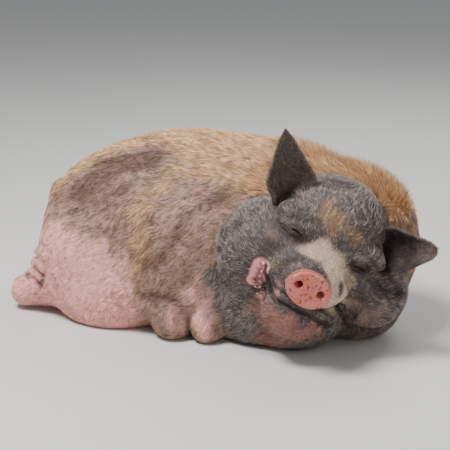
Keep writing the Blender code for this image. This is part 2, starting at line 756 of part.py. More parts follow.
for leg, place in FEET.items():
    for side, which in ((-1, "right"), (1, "left")):
        nodes[f"claw_{leg}_{which}"] = claw(f"claw_{leg}_{which}", place, side)
        if leg.endswith("left"):
            nodes[f"dewclaw_{leg}_{which}"] = dewclaw(f"dewclaw_{leg}_{which}", place, side)
for name, obj in nodes.items():
    if name.startswith(("ear", "tail", "dewclaw")):
        largest_shell(welded(boolean(obj, outside, "DIFFERENCE")))
bpy.data.objects.remove(outside)

looks = {
    "hide": material("hide", (0.30, 0.19, 0.14), 0.75),
    "pink_hide": material("pink_hide", (0.68, 0.40, 0.36), 0.65),
    "dark_hide": material("dark_hide", (0.10, 0.09, 0.09), 0.75),
    "snout": material("snout", (0.72, 0.28, 0.26), 0.40),
    "eyes": material("eyes", (0.02, 0.015, 0.012), 0.10),
    "horn": material("horn", (0.12, 0.09, 0.07), 0.45),
}
paint = {
    "torso": "hide",
    "foreleg_left": "hide",
    "foreleg_right": "pink_hide",
    "hindleg_left": "pink_hide",
    "hindleg_right": "pink_hide",
    "lower_jaw": "pink_hide",
    "tail": "pink_hide",
    "neck": "dark_hide",
    "head": "dark_hide",
    "ear_left": "dark_hide",
    "ear_right": "dark_hide",
    "snout_disc": "snout",
    "eye_left": "eyes",
    "eye_right": "eyes",
}
for name, obj in nodes.items():
    obj.data.materials.clear()
    obj.data.materials.append(looks[paint.get(name, "horn")])
    obj.location = (-MIDDLE[0], -MIDDLE[1], 0.0)
bpy.data.collections.remove(tools)
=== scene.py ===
"""A fat domestic pig asleep on its belly, life size: one skin, its coat, its eyes and its hooves."""
from concurrent.futures import ThreadPoolExecutor
from math import cos, pi, radians, sin

import bpy
import numpy as np
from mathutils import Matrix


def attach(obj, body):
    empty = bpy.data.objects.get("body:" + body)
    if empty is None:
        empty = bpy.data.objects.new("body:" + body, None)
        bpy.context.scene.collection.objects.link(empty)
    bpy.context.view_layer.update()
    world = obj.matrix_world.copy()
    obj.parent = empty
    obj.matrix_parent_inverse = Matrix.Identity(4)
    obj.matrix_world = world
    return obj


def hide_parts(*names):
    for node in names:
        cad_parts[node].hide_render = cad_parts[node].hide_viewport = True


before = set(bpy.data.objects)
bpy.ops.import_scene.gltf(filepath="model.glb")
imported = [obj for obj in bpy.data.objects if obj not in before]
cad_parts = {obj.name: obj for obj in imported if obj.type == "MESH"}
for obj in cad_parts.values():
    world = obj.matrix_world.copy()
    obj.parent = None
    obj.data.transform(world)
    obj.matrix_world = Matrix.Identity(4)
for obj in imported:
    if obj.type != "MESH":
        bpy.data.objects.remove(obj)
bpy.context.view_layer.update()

# The studio.  A pale floor, three soft lamps and a long lens at the height and side of the photograph.
# Nothing here belongs to the animal.
CAMERA_AT = (0.8225, -2.0747, 0.8140)
AZIMUTH, ELEVATION = 22.0, 16.0
TURNED_UP, TURNED_LEFT = 0.0024, 0.0011
LENS, SENSOR = 96.0, 36.0
FLOOR_REACH, FLOOR_DROP = 20, 0.0004
FLOOR_COLOUR = (0.62, 0.60, 0.57, 1)
SKY_COLOUR, SKY_STRENGTH = (0.80, 0.84, 0.90, 1), 0.42
LOOK_HEIGHT = 0.15


def put(name, data):
    """A new object that holds the data, linked into the scene."""
    made = bpy.data.objects.new(name, data)
    bpy.context.scene.collection.objects.link(made)
    return made


def new_material(name, **finish):
    """A material, its node tree and its shader; what is even all over goes on the shader's own sockets."""
    made = bpy.data.materials.new(name)
    made.use_nodes = True
    shader = made.node_tree.nodes["Principled BSDF"]
    for key, value in finish.items():
        shader.inputs[key.replace("_", " ")].default_value = value
    return made, made.node_tree, shader


def soft_lamp(name, azimuth, elevation, far, size, power):
    """A square soft box that looks at the animal's middle."""
    light = bpy.data.lights.new(name, "AREA")
    light.shape, light.size, light.energy = "SQUARE", size, power
    lamp = put(name, light)
    a, e = radians(azimuth), radians(elevation)
    lamp.location = (far * sin(a) * cos(e), -far * cos(a) * cos(e), LOOK_HEIGHT + far * sin(e))
    lamp.rotation_euler = (pi / 2 - e, 0, a)


lens = bpy.data.cameras.new("camera")
lens.lens, lens.sensor_width = LENS, SENSOR
camera = put("camera", lens)
camera.location = CAMERA_AT
camera.rotation_euler = (radians(90 - ELEVATION) + TURNED_UP, 0, radians(AZIMUTH) + TURNED_LEFT)
bpy.context.scene.camera = camera
soft_lamp("key", -28, 62, 2.6, 0.8, 106)
soft_lamp("fill", 60, 28, 3.2, 2.2, 22)
soft_lamp("back", 170, 50, 2.8, 1.4, 34)
world = bpy.data.worlds.new("studio")
world.use_nodes = True
sky = world.node_tree.nodes["Background"]
sky.inputs["Color"].default_value = SKY_COLOUR
sky.inputs["Strength"].default_value = SKY_STRENGTH
bpy.context.scene.world = world
ground = bpy.data.meshes.new("floor")
corners = [(FLOOR_REACH * a, FLOOR_REACH * b, 0) for a, b in ((-1, -1), (1, -1), (1, 1), (-1, 1))]
ground.from_pydata(corners, [], [(0, 1, 2, 3)])
ground.materials.append(new_material("floor", Base_Color=FLOOR_COLOUR, Roughness=0.85)[0])
floor = put("floor", ground)
floor.location.z = -FLOOR_DROP

# The skin.  A live pig's hide is one soft surface over fat, so it is worked out as rounded masses that
# run into each other, with the folds pressed in, and it replaces every node of flesh.
# Lengths are metres from the animal's own origin, under the middle of the barrel.
MIDDLE = np.array([0.0785, -0.0223, 0.0])
BARREL = (0.275, 0.205, 0.184)
CROUP = (0.135, 0.175, 0.140)
SHOULDERS = (0.170, 0.195, 0.172)
BELLY = (0.290, 0.218, 0.105)
HAM = (0.116, 0.100, 0.125)
HEAD_YAW, HEAD_PITCH, HEAD_ROLL = -80.0, -16.0, 32.0
DISC_CENTRE = np.array([0.3201, -0.2899, 0.1602])
DISC_TILT, DISC_YAW = 20.0, 6.0
DISC_WIDE, DISC_HIGH = 0.0410, 0.0320
EYE_AT = np.array([-0.0895, 0.0590, 0.0440])
EYE_RADIUS = 0.0115
EAR_WIDTH = 0.080
FEET = {
    "hind_right": ((-0.150, -0.072, 0.0165), 28),
    "hind_left": ((-0.125, 0.232, 0.0165), 14),
    "fore_right": ((-0.010, -0.062, 0.0165), 135),
    "fore_left": ((0.262, 0.196, 0.0165), -8),
}
EARS = {
    "right": ((-0.162, -0.100, 0.060), (-0.158, -0.166, 0.155), 1),
    "left": ((-0.150, 0.098, 0.052), (-0.100, 0.159, 0.137), -1),
}
EAR_FACES = np.array([0.360, -0.891, 0.276])
BODY_STEP, HEAD_STEP = 0.0028, 0.0013


def mm(*points):
    """Points given in millimetres."""
    return np.array(points) / 1000


def turned(rx=0, ry=0, rz=0):
    rx, ry, rz = radians(rx), radians(ry), radians(rz)
    about_x = np.array([[1, 0, 0], [0, cos(rx), -sin(rx)], [0, sin(rx), cos(rx)]])
    about_y = np.array([[cos(ry), 0, sin(ry)], [0, 1, 0], [-sin(ry), 0, cos(ry)]])
    about_z = np.array([[cos(rz), -sin(rz), 0], [sin(rz), cos(rz), 0], [0, 0, 1]])
    return about_z @ about_y @ about_x


def lump(p, centre, radii, turn=None):
    """Distance to an egg shape, less than zero inside."""
    q = p - np.asarray(centre, p.dtype)
    if turn is not None:
        q = q @ turned(*turn).astype(p.dtype)
    q = q / np.asarray(radii, p.dtype)
    near = np.sqrt((q * q).sum(1)) + 1e-9
    q = q / np.asarray(radii, p.dtype)
    return near * (near - 1) / (np.sqrt((q * q).sum(1)) + 1e-9)


def rod(p, a, b, ra, rb):
    a, b = np.asarray(a, p.dtype), np.asarray(b, p.dtype)
    along = b - a
    t = np.clip(((p - a) @ along) / (along @ along), 0, 1)
    q = p - a - t[:, None] * along
    return np.sqrt((q * q).sum(1)) - (ra + (rb - ra) * t)


def chain(p, points, radii):
    links = zip(points[:-1], points[1:], radii[:-1], radii[1:])
    return np.minimum.reduce([rod(p, a, b, ra, rb) for a, b, ra, rb in links])


def join(d, e, k):
    h = np.maximum(k - np.abs(d - e), 0) / k
    return np.minimum(d, e) - h * h * h * k / 6


def carve(d, e, k):
    h = np.maximum(k - np.abs(d + e), 0) / k
    return np.maximum(d, -e) + h * h * h * k / 6


def fold(d, p, points, wide, soft):
    """Press a crease along the points; it runs out at both ends."""
    radii = [wide * 0.3] + [wide] * (len(points) - 2) + [wide * 0.3]
    return carve(d, chain(p, points, radii), soft)


def within(*gaps):
    """Distance to the space where every gap is less than zero."""
    return np.sqrt(sum(np.maximum(gap, 0) ** 2 for gap in gaps)) + np.minimum(np.maximum.reduce(gaps), 0)


def ramp(x, low, high):
    t = np.clip((x - low) / (high - low), 0, 1)
    return t * t * (3 - 2 * t)


def head_axes():
    yaw, pitch, roll = radians(HEAD_YAW), radians(HEAD_PITCH), radians(HEAD_ROLL)
    front = np.array([cos(yaw) * cos(pitch), sin(yaw) * cos(pitch), sin(pitch)])
    level = np.array([-sin(yaw), cos(yaw), 0.0])
    crown = np.cross(front, level)
    left = cos(roll) * level - sin(roll) * crown
    return np.array([front, left, cos(roll) * crown + sin(roll) * level])


HEAD = head_axes()
DISC = turned(0, -DISC_TILT, DISC_YAW)


def to_head(p):
    return (p - DISC_CENTRE.astype(p.dtype)) @ HEAD.T.astype(p.dtype)


def from_head(q):
    return DISC_CENTRE + np.asarray(q) @ HEAD


def both_sides(q):
    m = q.copy()
    m[:, 1] = np.abs(m[:, 1])
    return m


def foot(p, place):
    at, heading = place
    q = (p - np.array(at, p.dtype)) @ turned(0, 0, heading).astype(p.dtype)
    d = rod(q, (-0.050, 0, 0.006), (0.002, 0, 0.001), 0.0190, 0.0165)
    return join(d, lump(q, (-0.004, 0, 0.0), (0.016, 0.0225, 0.0165)), 0.008)


def trunk(p):
    d = lump(p, (-0.005, 0.0, 0.170), BARREL)
    d = join(d, lump(p, (-0.190, 0.0, 0.145), CROUP), 0.08)
    d = join(d, lump(p, (0.150, 0.0, 0.165), SHOULDERS), 0.08)
    return join(d, lump(p, (-0.020, 0.0, 0.080), BELLY), 0.08)


def hind_right(p):
    d = lump(p, (-0.178, -0.112, 0.110), HAM)
    d = join(d, lump(p, (-0.130, -0.125, 0.045), (0.110, 0.092, 0.075)), 0.05)
    hock = chain(p, mm((-230, -130, 70), (-316, -145, 36), (-260, -130, 30)), [0.06, 0.033, 0.026])
    return join(d, hock, 0.03)


def hind_left(p):
    d = lump(p, (-0.178, 0.112, 0.110), HAM)
    leg = mm((-220, 140, 70), (-292, 178, 34), (-195, 214, 24))
    d = join(d, chain(p, leg, [0.06, 0.035, 0.023]), 0.03)
    return join(d, foot(p, FEET["hind_left"]), 0.010)


def fore_right(p):
    d = lump(p, (0.020, -0.178, 0.045), (0.046, 0.050, 0.055))
    return join(d, lump(p, (0.088, -0.172, 0.036), (0.035, 0.045, 0.046)), 0.012)


def fore_left(p):
    leg = mm((30, 165, 80), (55, 185, 48), (160, 206, 32), (205, 204, 25))
    d = chain(p, leg, [0.060, 0.046, 0.031, 0.023])
    return join(d, foot(p, FEET["fore_left"]), 0.010)


def neck_mass(p):
    d = lump(p, (0.185, -0.105, 0.130), (0.105, 0.115, 0.140), (0, 0, 20))
    d = join(d, lump(p, (0.165, -0.120, 0.060), (0.095, 0.080, 0.080)), 0.04)
    d = join(d, lump(p, (0.240, -0.128, 0.050), (0.075, 0.078, 0.062)), 0.03)
    d = join(d, lump(p, (0.330, -0.040, 0.058), (0.085, 0.080, 0.066)), 0.03)
    return join(d, rod(p, (0.17, 0.0, 0.17), (0.288, -0.01, 0.165), 0.165, 0.150), 0.06)


def tail(p):
    route = mm((-275, 0, 236), (-318, 2, 215), (-336, 6, 185), (-343, 12, 145), (-346, 18, 105),
               (-350, 22, 78))
    return chain(p, route, [0.014, 0.0125, 0.010, 0.0075, 0.0055, 0.0040])


# In the head's frame x runs out of the snout, y to the pig's left and z up.
def muzzle(q):
    s = (q @ DISC.astype(q.dtype)) * np.array([1, 1, DISC_WIDE / DISC_HIGH], q.dtype)
    round_disc = np.sqrt(s[:, 1] ** 2 + s[:, 2] ** 2)
    d = rod(s, (-0.045, 0, 0), (-0.085, 0, -0.004), DISC_WIDE - 0.005, 0.054) / 1.12
    roll = 0.012 - 0.005 * ramp(-s[:, 2], -0.010, 0.030)
    ring = np.sqrt((round_disc - 0.036) ** 2 + (s[:, 0] + 0.031) ** 2) - roll
    d = join(d, ring / 1.12, 0.010)
    d = join(d, lump(q, (-0.072, 0, -0.022), (0.050, 0.070, 0.052)), 0.02)
    thick = np.abs(s[:, 0] + 0.013) - 0.007
    wide = round_disc - (DISC_WIDE - 0.0055)
    return join(d, (within(thick, wide) - 0.0052) / 1.1, 0.004)


def face(q):
    m = both_sides(q)
    d = lump(q, (-0.170, 0, 0.042), (0.090, 0.095, 0.078))
    d = join(d, lump(q, (-0.130, 0, -0.005), (0.070, 0.112, 0.078)), 0.03)
    d = join(d, lump(m, (-0.112, 0.062, 0.046), (0.040, 0.046, 0.025)), 0.02)
    return join(d, lump(m, (-0.096, 0.066, 0.006), (0.024, 0.034, 0.014)), 0.012)


def jaw(q):
    d = lump(q, (-0.058, 0.010, -0.094), (0.050, 0.058, 0.046))
    return join(d, lump(q, (-0.120, 0.020, -0.115), (0.080, 0.095, 0.060)), 0.03)


def bare_head(q):
    d = join(muzzle(q), face(q), 0.035)
    d = join(d, lump(q, (-0.145, -0.096, -0.062), (0.090, 0.072, 0.088)), 0.045)
    d = join(d, lump(q, (-0.150, 0.122, -0.032), (0.070, 0.070, 0.066)), 0.03)
    d = join(d, jaw(q), 0.010)
    return join(d, lump(both_sides(q), EYE_AT + (0.002, 0.001, 0), (0.0165, 0.0185, 0.0145)), 0.008)


def settled(points, field):
    """Move the points of a crease onto the skin that it is pressed in."""
    p = np.array(points)
    for _ in range(8):
        d = field(p)
        slope = np.stack([field(p + step) - d for step in np.eye(3) * 0.0005], 1) / 0.0005
        p = p - (d / (slope * slope).sum(1))[:, None] * slope
    return p


MOUTH = settled(mm((-54, -74, -34), (-52, -68, -48), (-48, -57, -61), (-44, -46, -70), (-31, -28, -72),
                   (-23.5, -4, -64), (-27, 26, -61), (-40, 54, -71), (-60, 72, -82)), bare_head)
BROW = settled(mm((-102, -106, 36), (-85, -95, 50), (-80, -78, 62), (-80, -58, 68),
                  (-86, -36, 74)), bare_head)
POUCH = settled(mm((-84, 26, 72), (-78, 45, 68), (-78, 66, 60), (-93, 97, 34), (-108, 122, 22),
                   (-116, 150, 10)), bare_head)
CHEEK = settled(mm((-66, 55, 18), (-72, 79, -2), (-84, 105, -34), (-100, 112, -70)), bare_head)
BAND = settled(mm((-100, 127, 18), (-103, 157, 4), (-107, 174, -14), (-125, 180, -40)), bare_head)
LIDS = [settled([EYE_AT * (1, side, 1) + (0.016, side * (0.004 + 0.0125 * t), 0.001 - 0.004 * t * t)
                 for t in (-0.95, -0.5, 0.0, 0.5, 0.95)], bare_head) for side in (-1, 1)]
SECOND = settled(mm((-64, -55, -88), (-50, -46, -90), (-38, -40, -94)), bare_head)
CROWN = settled(mm((-155, -67, 98), (-148, -39, 113), (-160, -8, 121)), bare_head)
RAW = mm((-57, -80, -36), (-57, -83, -45), (-55, -75, -50), (-57, -83, -56), (-54, -73, -60),
         (-60, -81, -67), (-54, -68, -69), (-58, -75, -77), (-52, -62, -77), (-57, -67, -86),
         (-47, -54, -85), (-52, -58, -93))


def mouth(d, q):
    """The full side of the muzzle, the rims of the lips, raw flesh at the corner and the line between."""
    side = mm((-56, -62, -36), (-56, -60, -14), (-55, -42, 10), (-52, -14, 18))
    d = join(d, chain(q, side, [0.0115, 0.0125, 0.0125, 0.010]), 0.012)
    rim = [0.004] + [0.0062] * 7 + [0.004]
    d = join(d, chain(q, MOUTH + (-0.004, 0, 0.009), rim), 0.010)
    d = join(d, chain(q, MOUTH + (-0.006, 0, -0.009), rim), 0.012)
    for k, at in enumerate(RAW):
        d = join(d, lump(q, at, (0.0040, 0.0040 + 0.0012 * (k % 2), 0.0030)), 0.006)
    d = fold(d, q, MOUTH, 0.0022, 0.006)
    return fold(d, q, SECOND, 0.0010, 0.006)


def nostrils(d, q):
    for side in (-1, 1):
        hole = mm((6, side * 22.5, 2), (-6, side * 20.5, 3), (-20, side * 15, 7))
        d = carve(d, chain(q, hole @ DISC.T, [0.0072, 0.0056, 0.0030]), 0.004)
    return d


def lid_slits(d, q):
    """The closed lids: a rim along both edges, a slit down to the eye between them and a crease above."""
    for slit in LIDS:
        middle = EYE_AT * (1, np.sign(slit[2, 1]), 1)
        for rim in ((-0.0006, 0, 0.0030), (-0.0004, 0, -0.0030)):
            d = join(d, chain(q, slit + rim, [0.0010, 0.0019, 0.0021, 0.0019, 0.0010]), 0.004)
        d = carve(d, chain(q, slit, [0.0005, 0.0012, 0.0013, 0.0012, 0.0005]), 0.0018)
        to_eye = middle + (slit - middle) * 0.80
        d = carve(d, chain(q, to_eye, [0.0002, 0.0011, 0.0013, 0.0011, 0.0002]), 0.0012)
        d = fold(d, q, slit + (-0.0015, 0, 0.0078), 0.0009, 0.0040)
        d = fold(d, q, slit + (-0.0010, 0, -0.0085), 0.0006, 0.0035)
    return d


def head(q):
    d = mouth(bare_head(q), q)
    d = fold(d, q, BROW, 0.0042, 0.011)
    d = fold(d, q, POUCH, 0.0045, 0.015)
    d = carve(d, chain(q, POUCH[3:] + (0, 0.004, 0), [0.008, 0.011, 0.004]), 0.016)
    d = fold(d, q, CHEEK, 0.0035, 0.014)
    d = fold(d, q, BAND, 0.0028, 0.012)
    for back in (0.0, 0.011, 0.022):
        d = fold(d, q, CROWN + (-back, 0, back * 0.05), 0.0018, 0.009)
    return lid_slits(nostrils(d, q), q)


RUMP_CREASES = [mm((-267, -171, 148), (-240, -194, 140), (-228, -202, 130)),
                mm((-276, -172, 124), (-249, -192, 117), (-232, -202, 110)),
                mm((-292, -158, 94), (-274, -169, 87), (-250, -190, 86)),
                mm((-312, -155, 73), (-288, -170, 71), (-261, -182, 66)),
                mm((-226, -200, 146), (-237, -200, 112), (-261, -183, 60))]


def rump_rolls(d, p):
    """Four rolls of loose skin between the ham and the hock."""
    for k in range(4):
        ham_end = (-0.247 - 0.005 * k, -0.182 + 0.002 * k, 0.122 - 0.0215 * k)
        far_end = (-0.284 - 0.010 * k, -0.140, 0.118 - 0.023 * k)
        d = join(d, rod(p, ham_end, far_end, 0.0120, 0.0135), 0.005)
    for line in RUMP_CREASES:
        d = fold(d, p, line, 0.0040, 0.0060)
    return d


def body_folds(d, p):
    ham = mm((-2, -205, 195), (-18, -211, 162), (-28, -217, 127), (-33, -224, 85), (-36, -224, 45),
             (-38, -222, 0))
    d = fold(d, p, ham, 0.006, 0.020)
    roll = mm((129, -135, 262), (65, -176, 198), (30, -188, 150), (-5, -196, 112))
    d = join(d, chain(p, roll, [0.022, 0.026, 0.028, 0.022]), 0.04)
    elbow = mm((-30, -222, 74), (10, -224, 88), (40, -222, 80), (52, -216, 40), (56, -214, 0))
    d = fold(d, p, elbow, 0.005, 0.014)
    nape = mm((280, -173, 315), (251, -184, 298), (213, -198, 283), (188, -232, 256), (150, -240, 222),
              (120, -226, 170))
    return fold(d, p, nape, 0.004, 0.022)


def ear_frame(base, tip, twist):
    along = from_head(tip) - from_head(base)
    length = np.linalg.norm(along)
    along = along / length
    front = EAR_FACES - EAR_FACES @ along * along
    front = front / np.linalg.norm(front)
    return from_head(base), np.array([along, np.cross(front, along) * twist, front]), length


def ear_shell(p, which):
    """A sheet rolled at its root that opens towards the tip."""
    base, axes, length = ear_frame(*EARS[which])
    q = (p - base.astype(p.dtype)) @ axes.T.astype(p.dtype)
    s_open = q[:, 0] / length
    s = np.clip(s_open, 0, 1)
    roll = np.radians(82 - 50 * s)
    taper = 1.15 if which == "right" else 0.9
    outer = (np.maximum(1.12 - s, 0) / 0.87) ** taper * 0.98
    broad = np.where(s < 0.25, 0.78 + 1.6 * s - 3.2 * s ** 2, outer)
    broad = broad * np.sqrt(np.maximum(1 - np.maximum(s - 0.85, 0) / 0.15, 0.10))
    radius = EAR_WIDTH * broad / (2 * np.sin(roll))
    thick = 0.0027 - 0.0011 * s
    y, z = q[:, 1], radius * 0.75 - q[:, 2]
    over = np.abs(np.hypot(y, z) - radius - thick) - thick * 0.4
    edge = (np.abs(np.arctan2(y, z)) - roll) * radius + thick
    end = np.maximum(s_open - 1, -0.24 - s_open) * length + thick
    return within(over, edge, end) - thick * 0.6


def on_ear(p, *which):
    """1 on the ears that are named, 0 elsewhere."""
    return ramp(-np.minimum.reduce([ear_shell(p, each) for each in which]), -0.004, -0.001)


def coat_depth(q):
    """How far the skin lies inside the solids: nothing on the disc, the coat's depth on the body."""
    return 0.0006 + 0.0017 * ramp(np.sqrt((q * q).sum(1)), 0.045, 0.16)


def pig(p):
    q = to_head(p)
    d = rump_rolls(join(trunk(p), hind_right(p), 0.030), p)
    d = join(d, hind_left(p), 0.030)
    d = join(d, fore_left(p), 0.020)
    d = join(d, fore_right(p), 0.012)
    d = join(d, neck_mass(p), 0.030)
    near = np.nonzero((q[:, 0] > -0.30) & (p[:, 0] > 0.05))[0]
    if len(near):
        d[near] = join(d[near], head(q[near]), 0.030)
    d = body_folds(d, p) + coat_depth(q)
    d = join(d, tail(p), 0.008)
    if len(near):
        ears = [ear_shell(p[near], which) for which in EARS]
        d[near] = join(join(d[near], ears[0], 0.006), ears[1], 0.006)
    return d


def in_turn(field, points):
    """The field at many points, worked out on four cores."""
    pieces = np.array_split(points, max(1, len(points) // 20000))
    with ThreadPoolExecutor(4) as pool:
        return np.concatenate(list(pool.map(field, pieces)))


def slopes(field, points, by=0.0005):
    """The direction out of the skin, from four samples about each point."""
    corners = np.array([[1, -1, -1], [-1, -1, 1], [-1, 1, -1], [1, 1, 1]], np.float32)
    out = np.zeros((len(points), 3), np.float32)
    for corner in corners:
        out += in_turn(field, points + corner * np.float32(by))[:, None] * corner
    return out / (np.linalg.norm(out, axis=1)[:, None] + 1e-12)


def corner_grid(field, low, high, step):
    """The field on a regular grid, worked out only in blocks near the skin."""
    count = [int(np.ceil((h - l) / step / 8)) * 8 + 1 for l, h in zip(low, high)]
    axes = [(l + step * np.arange(n)).astype(np.float32) for l, n in zip(low, count)]
    blocks = np.meshgrid(*[np.arange(0, n - 1, 8) for n in count], indexing="ij")
    starts = np.stack([g.ravel() for g in blocks], 1)
    middles = np.stack([axes[a][starts[:, a] + 4] for a in range(3)], 1)
    rough = in_turn(field, middles)
    values = np.empty(count, np.float32)
    for (i, j, k), r in zip(starts, rough):
        values[i:i + 9, j:j + 9, k:k + 9] = r
    near = starts[np.abs(rough) < 10 * step]
    inner = np.stack([g.ravel() for g in np.meshgrid(*[np.arange(9)] * 3, indexing="ij")], 1)

    def work(blocks):
        at = blocks[:, None, :] + inner
        points = np.stack([axes[a][at[..., a]] for a in range(3)], 2).reshape(-1, 3)
        return at.reshape(-1, 3), field(points)
    with ThreadPoolExecutor(4) as pool:
        for at, found in pool.map(work, np.array_split(near, max(1, len(near) // 32))):
            values[at[:, 0], at[:, 1], at[:, 2]] = found
    return values


def net(field, low, high, step):
    """Points and faces of a closed net through the zero of the field."""
    values = corner_grid(field, low, high, step)
    inside = values < 0
    cells = tuple(n - 1 for n in values.shape)
    crossing = np.zeros(cells, bool)
    for axis in range(3):
        change = np.diff(inside, axis=axis)
        u, v = [a for a in range(3) if a != axis]
        for du in (0, 1):
            for dv in (0, 1):
                window = [slice(0, cells[a]) for a in range(3)]
                window[u] = slice(du, cells[u] + du)
                window[v] = slice(dv, cells[v] + dv)
                crossing |= change[tuple(window)]
    number = np.full(cells, -1, np.int32)
    where = np.argwhere(crossing)
    number[crossing] = np.arange(len(where))
    points = ((where + 0.5) * step + np.array(low)).astype(np.float32)
    faces = []
    for axis in range(3):
        u, v = (axis + 1) % 3, (axis + 2) % 3
        near = [slice(1, n - 1) for n in values.shape]
        near[axis] = slice(0, values.shape[axis] - 1)
        far = list(near)
        far[axis] = slice(1, values.shape[axis])
        a, b = inside[tuple(near)], inside[tuple(far)]
        for flip, mask in ((False, a & ~b), (True, ~a & b)):
            at = np.argwhere(mask) + np.array([0 if k == axis else 1 for k in range(3)])
            ring = []
            for du, dv in ((-1, -1), (0, -1), (0, 0), (-1, 0)):
                c = at.copy()
                c[:, u] += du
                c[:, v] += dv
                ring.append(number[tuple(c.T)])
            quad = np.stack(ring, 1)
            faces.append(quad[:, ::-1] if flip else quad)
    for _ in range(3):
        points -= np.clip(in_turn(field, points), -step, step)[:, None] * slopes(field, points, step * 0.4)
    return points, np.concatenate(faces)


def head_side(p):
    """True for what belongs to the finer part of the skin."""
    q = to_head(p)
    return (q[:, 0] > -0.205) & (p[:, 0] > 0.13) & (q[:, 0] < 0.1)


def smooth_noise(p, size, seed, layers=10):
    """Gentle unevenness between about -1 and 1, from a few waves in fixed random directions."""
    rng = np.random.default_rng(seed)
    total = np.zeros(len(p), np.float32)
    for _ in range(layers):
        way = rng.normal(size=3)
        way *= (0.7 + 0.6 * rng.random()) * 2 * pi / size / np.linalg.norm(way)
        total += np.sin(p @ way.astype(np.float32) + np.float32(rng.random() * 2 * pi))
    return total / np.sqrt(layers / 2)


skin_points, skin_faces = [], []
for low, high, step, fine in (((-0.376, -0.330, -0.050), (0.490, 0.275, 0.372), BODY_STEP, False),
                              ((0.120, -0.345, -0.012), (0.500, -0.010, 0.430), HEAD_STEP, True)):
    points, faces = net(pig, low, high, step)
    middle = points[faces].mean(1)
    if fine:
        keep = head_side(middle)
    else:
        lap = HEAD[0].astype(np.float32) * 0.004
        keep = ~head_side(middle - lap) | ~head_side(middle - np.array([0.004, 0, 0], np.float32))
    faces = faces[keep & (middle[:, 2] > -0.03)]
    used = np.unique(faces)
    again = np.full(len(points), -1)
    again[used] = np.arange(len(used))
    skin_faces.append(again[faces] + sum(len(p) for p in skin_points))
    skin_points.append(points[used])
skin_points, skin_faces = np.concatenate(skin_points), np.concatenate(skin_faces)
skin_points[:, 2] = np.maximum(skin_points[:, 2], 0.0004)


def of_head(p, q):
    """How far a point belongs to the head, from 0 on the body and neck to 1 on the face."""
    return ramp(np.minimum(trunk(p), neck_mass(p)) - bare_head(q), 0.0, 0.030)


# The black mark is painted shade, and the umber mark is partly painted shade.
MARKS = (("marks_a", ("back", "umber", "ham")), ("marks_b", ("dark", "cream", "ginger")),
         ("marks_c", ("chin", "black", "raw")), ("marks_d", ("disc", "crease", "shade")))


def along(at, points, wide, soft, loose):
    """1 near a line of points, fading out over a soft, loose edge."""
    return ramp(wide - chain(at, points, [0.0] * len(points)) + 0.25 * soft * loose, -soft, soft)


def body_markings(p, loose, body):
    """Tan over the back and behind the shoulder, umber on the upper flank and painted shade below the
    shoulder roll, bare pink on the ham and knees.
    """
    x, z = p[:, 0], p[:, 2]
    back_edge = np.interp(x, [-0.30, -0.226, -0.152, -0.079, 0.0, 0.10, 0.20, 0.30],
                          [0.22, 0.268, 0.308, 0.335, 0.316, 0.290, 0.265, 0.235])
    band = along(p, mm((30, -120, 320), (-6, -167, 277), (-44, -186, 243), (-26, -205, 190),
                       (-36, -212, 140), (-46, -220, 75)), 0.016, 0.026, loose)
    upper = along(p, mm((-190, -130, 258), (-108, -116, 306), (-48, -108, 324)), 0.034, 0.030, loose)
    rear = along(p, mm((-200, -165, 228), (-140, -165, 240), (-80, -160, 270)), 0.018, 0.030, loose)
    # Painted shade: this line lays the umber colour where the shoulder roll shades the flank beneath it.
    roll = along(p, mm((130, -145, 293), (63, -184, 245), (36, -203, 190), (-3, -210, 145), (5, -215, 95),
                       (30, -218, 90)), 0.012, 0.022, loose)
    ham_edge = np.interp(x, [-0.30, -0.224, -0.169, -0.105, -0.052, -0.030],
                         [0.195, 0.195, 0.182, 0.172, 0.150, 0.090])
    pink = ramp(ham_edge - z + 0.008 * loose, -0.040, 0.040)
    pink = pink * ramp(-x, 0.004, 0.056) * (1 - 0.35 * ramp(x, -0.14, -0.04))
    knee = along(p, mm((45, -222, 30), (45, -222, 60)), 0.012, 0.016, loose)
    wrist = along(p, mm((78, -212, 100), (96, -207, 80), (95, -215, 20)), 0.016, 0.018, loose)
    return {"back": np.maximum(ramp(z - back_edge + 0.008 * loose, -0.022, 0.022), 0.75 * band) * body,
            # The umber mark is the flank's own umber above and painted shade along the roll line.
            "umber": np.maximum(np.maximum(upper, 0.8 * rear), 0.9 * roll) * body,
            "ham": np.maximum(pink, np.maximum(knee, wrist)) * body}


def dark_marking(p, q, loose, skull):
    """Grey black over the head, the ears and the thick of the neck, paler on the cheeks and the ears."""
    x, y, z = p.T
    neck_edge = np.interp(z, [0.02, 0.085, 0.112, 0.150, 0.171, 0.217, 0.256, 0.283, 0.315, 0.34],
                          [0.132, 0.112, 0.098, 0.100, 0.122, 0.150, 0.182, 0.210, 0.284, 0.36])
    right_neck = ramp(-y, 0.06, 0.12) * ramp(x - neck_edge + 0.010 * loose, -0.034, 0.030)
    left_neck = ramp(x, 0.33, 0.39) * ramp(0.215 - z + 0.01 * loose, -0.02, 0.03) * ramp(-y, 0.02, 0.07)
    ears = on_ear(p, *EARS)
    left = along(q, mm((-84, 98, -36), (-95, 140, -20), (-95, 127, -74)), 0.020, 0.020, loose)
    right = along(q, mm((-80, -100, 10), (-100, -118, 30)), 0.010, 0.022, loose)
    dark = np.maximum.reduce([right_neck, 0.95 * skull, left_neck, ears])
    return dark * (1 - 0.45 * np.maximum(np.maximum(left, right), 0.6 * ears))


